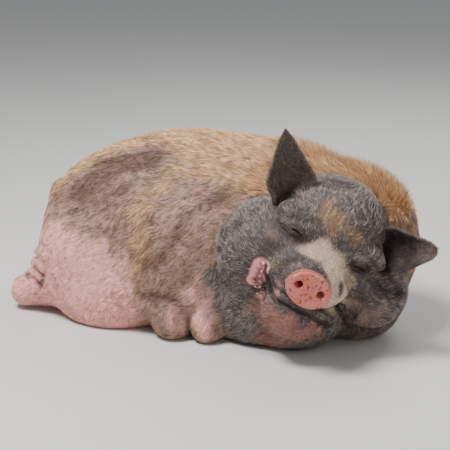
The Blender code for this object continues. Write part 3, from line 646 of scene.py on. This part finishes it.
def muzzle_markings(q, loose):
    """Cream across the muzzle, a ginger patch on the brow and a red brown chin."""
    cream = along(q, mm((-61, -34, 22), (-64, 0, 36), (-66, 34, 30), (-66, 54, 0), (-75, 66, -35),
                        (-88, 70, -58)), 0.015, 0.028, loose)
    beside = along(q, mm((-50, 26, 23), (-50, 41, 15), (-42, 49, -2), (-42, 54, -34)), 0.014, 0.018, loose)
    over = along(q, mm((-50, -60, -20), (-42, -46, 4), (-40, -14, 22)), 0.008, 0.020, loose)
    ginger = along(q, mm((-110, -40, 90), (-100, -16, 88), (-92, 0, 76), (-94, 20, 80)), 0.012, 0.026, loose)
    front = q * np.array([0.3, 1, 1])
    below = along(front, mm((-12, -16, -108), (-15, 12, -130), (-24, 18, -180)), 0.034, 0.026, loose)
    lip = along(front, mm((-10, 10, -90), (-14, 30, -120), (-10, 50, -88)), 0.024, 0.020, loose)
    chin = 0.9 * np.maximum(below, lip) * ramp(q[:, 0], -0.16, -0.09) * ramp(-q[:, 2], 0.056, 0.068)
    return {"cream": np.clip(np.maximum(cream, 0.42 * over) + 0.9 * beside, 0, 1), "ginger": 0.7 * ginger,
            "chin": chin}


def painted_shade_marking(p, q, out, loose):
    """Painted shade: near-black laid in the hollow under the left eye, below the chin, in the left ear's cup
    and along two creases, where shade falls.
    """
    hollow = along(q, mm((-70, 48, 44), (-78, 80, 40), (-105, 120, 22), (-114, 157, 12)), 0.012, 0.010, loose)
    under_chin = along(q, mm((-40, 60, -76), (-75, 78, -90), (-95, 85, -105)), 0.006, 0.010, loose)
    base, axes, length = ear_frame(*EARS["left"])
    cup = on_ear(p, "left") * ramp(out @ axes[2], 0.1, 0.5)
    cup = cup * ramp(-((p - base) @ axes[0]) / length, -0.85, -0.45)
    behind_ear = along(q, mm((-137, -116, 29), (-119, -133, 11), (-103, -146, -14)), 0.001, 0.006, loose)
    lines = np.maximum(along(q, BROW, 0.002, 0.006, loose), behind_ear)
    return np.maximum.reduce([hollow, under_chin, 0.6 * cup, 0.7 * lines])


def raw_marking(q, loose):
    """Wet pink flesh at the corner of the mouth, along its edge and on the lip beside the disc."""
    flesh = along(q, mm((-56, -82, -40), (-55, -79, -56), (-60, -72, -80), (-58, -60, -96)),
                  0.0150, 0.006, loose)
    lip_side = along(q, mm((-36, -46, -42), (-37, -31, -60), (-24, -14, -64)), 0.008, 0.014, loose)
    edge = along(q, MOUTH[1:7] + (0, 0, 0.003), 0.004, 0.006, loose)
    return np.maximum.reduce([flesh, 0.45 * edge, 0.5 * lip_side])


def markings(p, out):
    """How strongly each marking of the hide holds at a point, from 0 to 1."""
    q = to_head(p)
    loose = smooth_noise(p, 0.035, 3)
    skull = of_head(p, q)
    s = (q @ DISC) * np.array([1, 1, DISC_WIDE / DISC_HIGH])
    plate = np.maximum(np.hypot(s[:, 1], s[:, 2]) - DISC_WIDE + 0.001, -s[:, 0] - 0.019)
    return {**body_markings(p, loose, 1 - skull), **muzzle_markings(q, loose),
            "dark": dark_marking(p, q, loose, skull),
            # The black mark is painted shade.
            "black": painted_shade_marking(p, q, out, loose),
            "raw": raw_marking(q, loose),
            "disc": ramp(-plate, -0.0012, 0.0012),
            "crease": ramp(0.006 - in_turn(pig, (p + out * 0.006).astype(np.float32)), 0.0003, 0.0030)}


def add_marks(mesh, m):
    """Store the markings as colours on the points of the mesh, three to a layer."""
    for name, parts in MARKS:
        layer = mesh.attributes.new(name, "FLOAT_COLOR", "POINT")
        values = np.ones((len(mesh.vertices), 4), np.float32)
        for k, part in enumerate(parts):
            values[:, k] = m.get(part, 0.0)
        layer.data.foreach_set("color", values.ravel())


def fast_mesh(name, points, faces):
    """A mesh from arrays; every face has the same number of corners."""
    mesh = bpy.data.meshes.new(name)
    mesh.vertices.add(len(points))
    mesh.vertices.foreach_set("co", np.ascontiguousarray(points, np.float32).ravel())
    mesh.loops.add(faces.size)
    mesh.loops.foreach_set("vertex_index", faces.astype(np.int32).ravel())
    mesh.polygons.add(len(faces))
    mesh.polygons.foreach_set("loop_start", np.arange(0, faces.size, faces.shape[1], dtype=np.int32))
    mesh.update(calc_edges=True)
    mesh.validate()
    mesh.shade_smooth()
    return mesh


def rgb(r, g, b):
    """A colour seen as these 0-255 values, in the renderer's own units."""
    light = [((c / 255 + 0.055) / 1.055) ** 2.4 if c > 10 else c / 255 / 12.92 for c in (r, g, b)]
    return (*light, 1.0)


def node(tree, kind, at, inputs=(), **settings):
    made = tree.nodes.new(kind)
    made.location = at
    for key, value in settings.items():
        setattr(made, key, value)
    for key, value in dict(inputs).items():
        if isinstance(value, bpy.types.NodeSocket):
            tree.links.new(value, made.inputs[key])
        else:
            made.inputs[key].default_value = value
    return made


def mixed(tree, at, factor, a, b, kind="MIX"):
    mix = tree.nodes.new("ShaderNodeMix")
    mix.data_type, mix.blend_type, mix.location = "RGBA", kind, at
    for socket, value in ((mix.inputs[0], factor), (mix.inputs[6], a), (mix.inputs[7], b)):
        if isinstance(value, bpy.types.NodeSocket):
            tree.links.new(value, socket)
        else:
            socket.default_value = value
    return mix.outputs[2]


def maths(tree, at, operation, a, b=0.0):
    return node(tree, "ShaderNodeMath", at, {0: a, 1: b}, operation=operation).outputs[0]


def noise(tree, at, place, scale, detail, rough=0.5):
    given = {"Vector": place, "Scale": scale, "Detail": detail, "Roughness": rough}
    return node(tree, "ShaderNodeTexNoise", at, given).outputs["Fac"]


def ranged(tree, at, value, low=0.0, high=1.0, to_low=0.0, to_high=1.0, kind="LINEAR"):
    given = {"Value": value, "From Min": low, "From Max": high, "To Min": to_low, "To Max": to_high}
    return node(tree, "ShaderNodeMapRange", at, given, interpolation_type=kind).outputs["Result"]


def place_on(tree, at):
    return node(tree, "ShaderNodeTexCoord", at).outputs["Object"]


def bumped(tree, at, height, strength, distance):
    given = {"Height": height, "Strength": strength, "Distance": distance}
    return node(tree, "ShaderNodeBump", at, given).outputs["Normal"]


# The umber region is partly painted shade below the shoulder roll; the black region is painted shade in
# hollows, folds and the left ear's cup.
REGIONS = ("Back", "Umber", "Ham", "Dark", "Cream", "Ginger", "Chin", "Black", "Raw", "Disc")
MASKS = ("Crease", "Disc", "Raw", "Shade")


def markings_group():
    """The colours of the hide, shared by the skin and its coat: each marking fades in with a ragged edge."""
    tree = bpy.data.node_groups.new("hide markings", "ShaderNodeTree")
    for name in ("Flank",) + REGIONS:
        tree.interface.new_socket(name, in_out="INPUT", socket_type="NodeSocketColor")
    tree.interface.new_socket("Ragged", in_out="INPUT", socket_type="NodeSocketFloat")
    tree.interface.new_socket("Color", in_out="OUTPUT", socket_type="NodeSocketColor")
    for name in MASKS:
        tree.interface.new_socket(name, in_out="OUTPUT", socket_type="NodeSocketFloat")
    given = tree.nodes.new("NodeGroupInput")
    result = tree.nodes.new("NodeGroupOutput")
    marks = {}
    for k, (layer, names) in enumerate(MARKS):
        read = node(tree, "ShaderNodeAttribute", (-1200, -220 * k), attribute_name=layer)
        split = node(tree, "ShaderNodeSeparateColor", (-1000, -220 * k), {"Color": read.outputs["Color"]})
        for out, name in zip(("Red", "Green", "Blue"), names):
            marks[name.capitalize()] = split.outputs[out]
    blotch = noise(tree, (-1200, 300), place_on(tree, (-1400, 300)), 60.0, 7.0, 0.7)
    centred = maths(tree, (-1000, 300), "SUBTRACT", blotch, 0.5)
    edge = maths(tree, (-800, 300), "MULTIPLY", centred, given.outputs["Ragged"])
    colour = given.outputs["Flank"]
    for k, name in enumerate(REGIONS):
        wide = maths(tree, (-700 + 90 * k, 0), "ADD", marks[name], edge)
        held = ranged(tree, (-600 + 90 * k, 0), wide, 0.14, 0.86, kind="SMOOTHSTEP")
        colour = mixed(tree, (-500 + 90 * k, 200), held, colour, given.outputs[name])
    tree.links.new(colour, result.inputs["Color"])
    for name in MASKS:
        tree.links.new(marks[name], result.inputs[name])
    return tree


def hide_colours(tree, ragged, colours):
    """The shared group of markings, placed in a material with its own colours."""
    group = node(tree, "ShaderNodeGroup", (-900, 300), node_tree=hide_markings)
    for name, value in colours.items():
        group.inputs[name].default_value = value
    group.inputs["Ragged"].default_value = ragged
    return group.outputs


hide_markings = markings_group()
# Umber is partly painted shade and Black is painted shade.
SKIN_COLOURS = {"Flank": rgb(176, 138, 126), "Back": rgb(178, 138, 108), "Umber": rgb(118, 88, 78),
                "Ham": rgb(226, 158, 156), "Dark": rgb(66, 56, 56), "Cream": rgb(196, 166, 146),
                "Ginger": rgb(132, 102, 80), "Chin": rgb(136, 88, 80), "Black": rgb(30, 26, 27),
                "Raw": rgb(244, 158, 160), "Disc": rgb(218, 126, 120)}
# The fold colour is painted shade, laid dark into the creases and the nostrils where shade falls; the stain
# and mud on the disc are the disc's own colour.
FOLD_SHADE, DISC_STAIN, DISC_MUD = rgb(66, 48, 42), rgb(186, 92, 70), rgb(84, 42, 32)


def skin_material():
    """Bare hide: markings, painted shade in the folds, pores and fine crinkles; wet on the disc and at the
    lips.
    """
    made, tree, shader = new_material("hide", Specular_IOR_Level=0.35)
    hide = hide_colours(tree, 0.30, SKIN_COLOURS)
    place = place_on(tree, (-1500, 0))
    mottle = noise(tree, (-1200, 0), place, 28.0, 8.0, 0.7)
    speck = noise(tree, (-1200, -250), place, 190.0, 4.0, 0.65)
    pores = node(tree, "ShaderNodeTexVoronoi", (-1200, -500), {"Vector": place, "Scale": 260.0})
    tone = ranged(tree, (-900, 0), mottle, 0.3, 0.7, 0.80, 1.12)
    colour = mixed(tree, (-650, 300), 1.0, hide["Color"], tone, "MULTIPLY")
    # Painted shade: the creases are darkened towards the fold colour.
    fold_shade = maths(tree, (-650, 0), "MULTIPLY", hide["Crease"], 0.72)
    colour = mixed(tree, (-450, 300), fold_shade, colour, FOLD_SHADE)
    stain = ranged(tree, (-900, -120), mottle, 0.40, 0.58, 0.0, 0.75)
    stained = maths(tree, (-750, -120), "MULTIPLY", stain, hide["Disc"])
    colour = mixed(tree, (-350, 420), stained, colour, DISC_STAIN)
    mud = ranged(tree, (-900, -250), speck, 0.54, 0.66)
    muddy = maths(tree, (-650, -250), "MULTIPLY", mud, hide["Disc"])
    colour = mixed(tree, (-250, 300), muddy, colour, DISC_MUD)
    tree.links.new(colour, shader.inputs["Base Color"])
    wet = maths(tree, (-650, -450), "MAXIMUM", hide["Disc"], hide["Raw"])
    tree.links.new(ranged(tree, (-450, -450), wet, 0.0, 1.0, 0.66, 0.24), shader.inputs["Roughness"])
    tree.links.new(maths(tree, (-450, -560), "MULTIPLY", wet, 0.25), shader.inputs["Coat Weight"])
    crinkle = noise(tree, (-1200, -750), place, 150.0, 6.0, 0.75)
    relief = maths(tree, (-900, -700), "ADD", crinkle, pores.outputs["Distance"])
    tree.links.new(bumped(tree, (-450, -700), relief, 0.45, 0.0016), shader.inputs["Normal"])
    return made


def as_piece(name, mesh, finish, slot, *replaced):
    """A mesh as a piece of the animal, with its finish and the frame nodes that it stands for."""
    mesh.materials.append(finish)
    piece = put(name, mesh)
    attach(piece, "root")
    if replaced:
        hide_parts(*replaced)


skin_normals = slopes(pig, skin_points)
skin_marks = markings(skin_points, skin_normals)
skin_mesh = fast_mesh("skin", skin_points - MIDDLE.astype(np.float32), skin_faces)
add_marks(skin_mesh, skin_marks)
as_piece("skin", skin_mesh, skin_material(), "hide", "torso", "neck", "head", "snout_disc", "lower_jaw",
         "ear_left", "ear_right", "tail", "foreleg_left", "foreleg_right", "hindleg_left", "hindleg_right")

# The eyes.  Small, dark and wet, they lie deep between fat lids that are nearly shut, so only a glint of
# each one shows.  Each is a ball with a raised clear front.
EYE_LOOKS = (0.93, 0.25, -0.22)
EYE_ROOM, CORNEA = 0.97, 0.055


def round_ball(count_round, count_up):
    """Points of a unit ball about the x axis with its faces; the first point is at +x."""
    turn = np.linspace(0, 2 * pi, count_round, endpoint=False)
    up = np.linspace(0, pi, count_up + 1)[1:-1]
    level, across = np.cos(turn), np.sin(turn)
    rings = [np.stack([np.full(count_round, cos(a)), sin(a) * level, sin(a) * across], 1) for a in up]
    points = np.concatenate([[[1, 0, 0]]] + rings + [[[-1, 0, 0]]])
    faces = []
    for k in range(count_round):
        n = (k + 1) % count_round
        faces.append((0, 1 + k, 1 + n))
        for i in range(count_up - 2):
            a, b = 1 + i * count_round, 1 + (i + 1) * count_round
            faces += [(a + k, b + k, b + n), (a + k, b + n, a + n)]
        last = 1 + (count_up - 2) * count_round
        faces.append((last + k, len(points) - 1, last + n))
    return points, np.array(faces)


def colour_stops(tree, at, factor, stops):
    """Colours along a factor, as (place, colour)."""
    ramped = node(tree, "ShaderNodeValToRGB", at, {"Fac": factor})
    elements = ramped.color_ramp.elements
    while len(elements) < len(stops):
        elements.new(0.5)
    for stop, (place, colour) in zip(elements, stops):
        stop.position, stop.color = place, colour
    return ramped.outputs["Color"]


def point_values(mesh, name, values):
    layer = mesh.attributes.new(name, "FLOAT", "POINT")
    layer.data.foreach_set("value", values.astype(np.float32))


def eye_material():
    """Black pupil, brown iris with streaks and a dim white, under a clear wet coat."""
    made, tree, shader = new_material("eye", Roughness=0.12, Coat_Weight=1.0, Coat_Roughness=0.03)
    angle = node(tree, "ShaderNodeAttribute", (-900, 200), attribute_name="from_pupil").outputs["Fac"]
    streak = noise(tree, (-1100, -100), place_on(tree, (-1300, -100)), 900.0, 3.0)
    rings = colour_stops(tree, (-650, 200), angle,
                         ((0.10, (0.002, 0.002, 0.002, 1)), (0.13, rgb(58, 34, 20)), (0.24, rgb(84, 52, 30)),
                          (0.30, rgb(30, 18, 14)), (0.36, rgb(150, 112, 98))))
    veins = ranged(tree, (-850, -100), streak, 0.0, 1.0, 0.6, 1.3)
    tree.links.new(mixed(tree, (-300, 200), 1.0, rings, veins, "MULTIPLY"), shader.inputs["Base Color"])
    return made


eye_glass = eye_material()
for side, name in ((-1, "right"), (1, "left")):
    points, faces = round_ball(48, 32)
    angle = np.arccos(np.clip(points[:, 0], -1, 1)) / pi
    bulge = 1 + CORNEA * ramp(-angle, -0.26, -0.10)
    look = np.array(EYE_LOOKS) * np.array([1, side, 1])
    look /= np.linalg.norm(look)
    level = np.cross((0.0, 0.0, 1.0), look)
    level /= np.linalg.norm(level)
    axes = np.array([look, level, np.cross(look, level)])
    at = from_head(EYE_AT * np.array([1, side, 1]) + (points * bulge[:, None] * EYE_ROOM * EYE_RADIUS) @ axes)
    eye_mesh = fast_mesh("eye_shape_" + name, at - MIDDLE, faces)
    point_values(eye_mesh, "from_pupil", angle)
    as_piece("eyeball_" + name, eye_mesh, eye_glass, "eyes", "eye_" + name)

# The hooves.  Each foot stands on two claws of horn, and the two left feet have a pair of small dewclaws
# behind; the horn is grown in rings from under the skin, ridged across, dull and scuffed pale along the rim.
CLAW = (0.027, 0.0112, 0.0165)
DEWCLAW = (0.0108, 0.0063, 0.0063)


def claw_points(at, heading, side):
    points, faces = round_ball(40, 30)
    x, y, z = points.T
    toe = np.maximum(x, 0) ** 2
    down = np.clip(0.9 - z, 0, 2)
    ridge = 0.00032 * np.sin(down * 21 + 1.5 * x) * ramp(down, 0.2, 0.5) / CLAW[1]
    flare = 1 + ridge + 0.05 * ramp(-z, 0.1, 0.8)
    wide = side * (CLAW[1] + 0.0006 - 0.0030 * toe) + y * CLAW[1] * (1 - 0.35 * toe) * flare
    q = np.stack([x * CLAW[0] * (1 + ridge) + 0.014, wide, z * CLAW[2] * (1 - 0.25 * toe) - 0.0015], 1)
    q[:, 0] = np.maximum(q[:, 0], 0.0006)
    placed = np.array(at) + q @ turned(0, 0, heading).T
    placed[:, 2] = np.maximum(placed[:, 2], 0.0004)
    return placed, faces, down


def dewclaw_points(at, heading, side):
    points, faces = round_ball(24, 18)
    x, y, z = points.T
    down = np.clip(0.9 - x, 0, 2)
    ridge = 1 + 0.022 * np.sin(down * 14)
    q = np.stack([x * DEWCLAW[0] - 0.036, y * DEWCLAW[1] * ridge + side * 0.0185,
                  z * DEWCLAW[2] * ridge - 0.0075], 1)
    return np.array(at) + q @ turned(0, 0, heading).T, faces, down


def horn_material():
    """Dull horn in growth rings, blotched, and paler towards the worn rim."""
    made, tree, shader = new_material("horn", Roughness=0.52)
    grown = node(tree, "ShaderNodeAttribute", (-1200, 200), attribute_name="grown").outputs["Fac"]
    blotch = noise(tree, (-1200, -100), place_on(tree, (-1500, -100)), 130.0, 6.0)
    straight = maths(tree, (-950, -300), "MULTIPLY", grown, 60.0)
    waved = maths(tree, (-950, -100), "MULTIPLY", blotch, 6.0)
    rings = maths(tree, (-550, -200), "SINE", maths(tree, (-750, -200), "ADD", straight, waved))
    tone = colour_stops(tree, (-900, 200), grown, ((0.0, rgb(96, 74, 62)), (0.45, rgb(84, 70, 60)),
                                                  (0.80, rgb(120, 102, 84)), (1.0, rgb(160, 140, 112))))
    patch = ranged(tree, (-700, 0), blotch, 0.3, 0.7, 0.62, 1.20)
    tree.links.new(mixed(tree, (-300, 200), 1.0, tone, patch, "MULTIPLY"), shader.inputs["Base Color"])
    tree.links.new(bumped(tree, (-300, -250), rings, 0.25, 0.0005), shader.inputs["Normal"])
    return made


horn = horn_material()
for leg, (at, heading) in FEET.items():
    for side, which in ((-1, "right"), (1, "left")):
        parts = [("claw", claw_points)]
        if leg.endswith("left"):
            parts.append(("dewclaw", dewclaw_points))
        for kind, shape in parts:
            points, faces, down = shape(at, heading, side)
            horn_mesh = fast_mesh(f"horn_{kind}_{leg}_{which}", points - MIDDLE, faces)
            point_values(horn_mesh, "grown", down / 2)
            as_piece(f"horn_{kind}_{leg}_{which}", horn_mesh, horn, "horn", f"{kind}_{leg}_{which}")

# The coat.  Short, coarse hair that lies back and down over the body, fine and close on the face,
# with pale bristles that stand up along the nape.  Every tuft is three flat, tapered hairs.
TUFTS, HAIRS_IN_TUFT, PIECE_TUFTS = 78000, 3, 13000
HAIR_WIDTH, HAIR_SPREAD, HAIR_ROOT = 0.00058, 0.24, 0.0008
HAIR_BENDS = (0.0, 0.42, 0.78, 1.0)
BODY_HAIR, BACK_MORE, HAM_LESS, NAPE_MORE = 0.015, 0.004, 0.004, 0.012
NOSE_HAIR, FACE_MORE = 0.0045, 0.013
STAND, BACK_STAND, NAPE_STAND, EAR_STAND = 9, 7, 32, 8
PATCH = 0.003


def lie_of(p, out):
    """The way the hair runs over the skin: off the snout over the head, then back and down along the body."""
    q = to_head(p)
    down = -0.75 * ramp(-np.abs(out[:, 2]), -0.95, -0.4) - 0.05
    body = np.stack([-np.ones(len(p)), 0.15 * np.sign(p[:, 1]), down], 1)
    legs = np.maximum(ramp(-fore_left(p), -0.010, 0.004), 0)
    body += legs[:, None] * np.array([2.6, 0, 0])
    face_out = q - np.array([0.030, 0.0, -0.005])
    face_out[:, 0] = -np.abs(face_out[:, 0]) - 0.03
    over_face = face_out / np.linalg.norm(face_out, axis=1)[:, None] @ HEAD
    on_head = of_head(p, q)[:, None]
    way = body * (1 - on_head) + 1.3 * over_face * on_head
    for which in EARS:
        axes = ear_frame(*EARS[which])[1]
        held = on_ear(p, which)[:, None]
        way = way * (1 - held) + axes[0] * held
    turn = 0.35 * smooth_noise(p, 0.05, 11)[:, None]
    way = way - (way * out).sum(1)[:, None] * out
    way /= np.linalg.norm(way, axis=1)[:, None] + 1e-9
    return way + turn * np.cross(out, way)


def scatter(count, weight, seed):
    """Random places on the skin, more of them where the weight is high."""
    rng = np.random.default_rng(seed)
    corners = skin_points[skin_faces]
    area = np.linalg.norm(np.cross(corners[:, 2] - corners[:, 0], corners[:, 3] - corners[:, 1]), axis=1) / 2
    share = area * weight[skin_faces].mean(1)
    chosen = rng.choice(len(skin_faces), count, p=share / share.sum())
    u, v = rng.random((2, count, 1))
    quad = corners[chosen]
    at = (quad[:, 0] * (1 - u) + quad[:, 1] * u) * (1 - v) + (quad[:, 3] * (1 - u) + quad[:, 2] * u) * v
    nearest = skin_faces[chosen, rng.integers(0, 4, count)]
    return at.astype(np.float32), nearest


def hairs(at, out, lie, length, stand, width, seed):
    """Points and triangles of flat tapered hairs, laid over the skin and lifted off it by their stand."""
    rng = np.random.default_rng(seed)
    count = len(at)
    side = np.cross(out, lie)
    side /= np.linalg.norm(side, axis=1)[:, None] + 1e-9
    lie = np.cross(side, out)
    turn = rng.normal(0, HAIR_SPREAD, count)[:, None]
    way = lie * np.cos(turn) + side * np.sin(turn)
    across = np.cross(out, way)
    roll = rng.uniform(-0.9, 0.9, count)[:, None]
    broad = across * np.cos(roll) + out * np.sin(roll)
    curl = rng.normal(0, 0.10, count)[:, None]
    rows = []
    for t in HAIR_BENDS:
        middle = at + (way * np.cos(stand)[:, None] + across * curl * t) * (length * t)[:, None]
        lift = length * t * np.sin(stand) * (1 - 0.30 * t) - HAIR_ROOT * (t == 0)
        if t > 0:
            lift = lift - in_turn(pig, middle.astype(np.float32))
            lift = np.clip(lift, -0.9 * length * t, 0.9 * length * t)
        middle = middle + out * lift[:, None]
        half = (0.5 * width * (1 - t ** 1.6))[:, None]
        rows += [middle] if t == 1 else [middle - broad * half, middle + broad * half]
    points = np.stack(rows, 1)
    first = np.arange(count)[:, None, None] * len(rows)
    shape = []
    last = len(HAIR_BENDS) - 2
    for k in range(last):
        shape += [(2 * k, 2 * k + 1, 2 * k + 3), (2 * k, 2 * k + 3, 2 * k + 2)]
    shape.append((2 * last, 2 * last + 1, 2 * last + 2))
    faces = (first + np.array(shape)[None]).reshape(-1, 3)
    return points.reshape(-1, 3), faces, len(rows)


def unwrapped(p, head):
    """The skin's own shape unrolled: round the skull for the head, round the barrel for the body."""
    if head:
        q = to_head(p)
        return np.stack([q[:, 0] * 4.0, np.arctan2(q[:, 1], q[:, 2] + 0.03) / pi], 1)
    return np.stack([p[:, 0] * 2.2, np.arctan2(p[:, 1], p[:, 2] - 0.13) / pi], 1)


def coat_piece(name, at, out, lie, marks, length, stand, width, seed, head):
    """One piece of the coat; each tuft's hairs share a small patch of the bake map at their root's place."""
    rng = np.random.default_rng(seed)
    tuft = np.repeat(np.arange(len(at)), HAIRS_IN_TUFT)
    side = np.cross(out, lie)
    shift = rng.normal(0, 0.0011, (len(tuft), 1)) * side[tuft]
    shift = shift + rng.normal(0, 0.0016, (len(tuft), 1)) * lie[tuft]
    scale = rng.uniform(0.65, 1.15, len(tuft))
    lift = stand[tuft] * rng.uniform(0.5, 1.6, len(tuft))
    points, faces, per_hair = hairs(at[tuft] + shift, out[tuft], lie[tuft], length[tuft] * scale, lift,
                                    width[tuft], seed + 1)
    points[:, 2] = np.maximum(points[:, 2], 0.0006)
    mesh = fast_mesh(name, points - MIDDLE, faces)
    owner = np.repeat(tuft, per_hair)
    own = {key: value[owner] for key, value in marks.items()}
    own["shade"] = np.repeat(np.clip(marks["shade"][tuft] + rng.normal(0, 0.20, len(tuft)), 0, 1), per_hair)
    add_marks(mesh, own)
    flat = unwrapped(at, head)
    low, high = flat.min(0), flat.max(0)
    flat = 0.01 + 0.98 * (flat - low) / (high - low)
    strip = (np.tile(np.arange(HAIRS_IN_TUFT), len(at)) + 0.5) / HAIRS_IN_TUFT - 0.5
    edge = np.array([-0.4, 0.4] * (per_hair // 2) + [0.0]) / HAIRS_IN_TUFT
    up = np.repeat(np.linspace(-0.5, 0.5, per_hair // 2 + 1), 2)[:per_hair]
    place = flat[owner] + PATCH * np.stack([(strip[:, None] + edge[None]).ravel(), np.tile(up, len(tuft))], 1)
    layer = mesh.uv_layers.new(name="OFBake")
    layer.uv.foreach_set("vector", place[faces.ravel()].astype(np.float32).ravel())
    as_piece(name, mesh, coat_hair, "hide")


# As on the skin, the coat's Umber is partly painted shade and its Black is painted shade.
COAT_COLOURS = {"Flank": rgb(150, 120, 100), "Back": rgb(204, 164, 120), "Umber": rgb(112, 84, 68),
                "Ham": rgb(222, 178, 158), "Dark": rgb(128, 115, 108), "Cream": rgb(214, 196, 172),
                "Ginger": rgb(188, 144, 98), "Chin": rgb(150, 112, 98), "Black": rgb(40, 36, 36),
                "Raw": rgb(240, 190, 180), "Disc": rgb(226, 150, 140)}
# The hair's fold colour is painted shade for the creases.
HAIR_FOLD_SHADE = rgb(70, 52, 46)


def coat_material():
    """Stiff, dull hair in the markings' colours, each hair of its own shade, darkened in the folds as painted
    shade.
    """
    made, tree, shader = new_material("coat", Roughness=0.45, Specular_IOR_Level=0.40)
    hide = hide_colours(tree, 0.55, COAT_COLOURS)
    tone = ranged(tree, (-650, 0), hide["Shade"], 0.0, 1.0, 0.30, 2.10)
    colour = mixed(tree, (-400, 300), 1.0, hide["Color"], tone, "MULTIPLY")
    # Painted shade: hair in the creases is darkened towards the fold colour.
    fold_shade = maths(tree, (-650, -200), "MULTIPLY", hide["Crease"], 0.5)
    tree.links.new(mixed(tree, (-200, 300), fold_shade, colour, HAIR_FOLD_SHADE), shader.inputs["Base Color"])
    return made


coat_hair = coat_material()
bare = np.maximum(skin_marks["disc"], 0.95 * skin_marks["raw"])
skin_ears = on_ear(skin_points, *EARS)
under = ramp(0.018 - skin_points[:, 2], 0, 0.012) * ramp(-skin_normals[:, 2], 0.2, 0.7)
muzzle_near = ramp(0.20 - np.linalg.norm(to_head(skin_points), axis=1), 0, 0.12)
thick = 1 + 0.2 * skin_marks["back"] - 0.45 * skin_marks["ham"] + 0.5 * muzzle_near + 0.9 * skin_ears
grows = (1 - bare) * (1 - under) * thick * (1 - 0.7 * skin_marks["crease"])
root, nearest = scatter(TUFTS, np.maximum(grows, 0).astype(np.float32), 5)
marks = {key: value[nearest] for key, value in skin_marks.items()}
out = slopes(pig, root)
lie = lie_of(root, out).astype(np.float32)
q = to_head(root)
skull = of_head(root, q)
nape = ramp(root[:, 0], 0.12, 0.22) * ramp(root[:, 2], 0.20, 0.27) * (1 - marks["dark"]) * (1 - skull)
chance = np.random.default_rng(21).random((2, len(root)))
face_hair = NOSE_HAIR + FACE_MORE * ramp(np.linalg.norm(q, axis=1), 0.05, 0.26)
length = BODY_HAIR + BACK_MORE * marks["back"] - HAM_LESS * marks["ham"]
length = length + (np.minimum(length, face_hair) - length) * skull
ear = skin_ears[nearest]
length = length * (1 - 0.6 * ear) * (1 - 0.45 * ramp(-fore_left(root), -0.01, 0.0)) + NAPE_MORE * nape
stand = np.radians(STAND + BACK_STAND * marks["back"] + NAPE_STAND * nape + EAR_STAND * ear)
width = HAIR_WIDTH * (0.75 + 0.45 * np.minimum(length / 0.02, 1))
clump = 0.5 + 0.22 * smooth_noise(root, 0.016, 31)
shade = 0.36 + 0.5 * (clump - 0.5) + 0.42 * (chance[0] - 0.5) * 2 + 0.3 * (chance[1] > 0.85)
marks["shade"] = np.clip(shade, 0, 1)
seed = 100
for label, members in (("head", np.nonzero(skull > 0.5)[0]), ("body", np.nonzero(~(skull > 0.5))[0])):
    order = members[np.argsort(root[members, 0])]
    for k, ids in enumerate(np.array_split(order, int(np.ceil(len(order) / PIECE_TUFTS)))):
        coat_piece(f"coat_{label}_{k + 1}", root[ids], out[ids], lie[ids],
                   {key: value[ids] for key, value in marks.items()}, length[ids], stand[ids], width[ids],
                   seed, label == "head")
        seed += 1
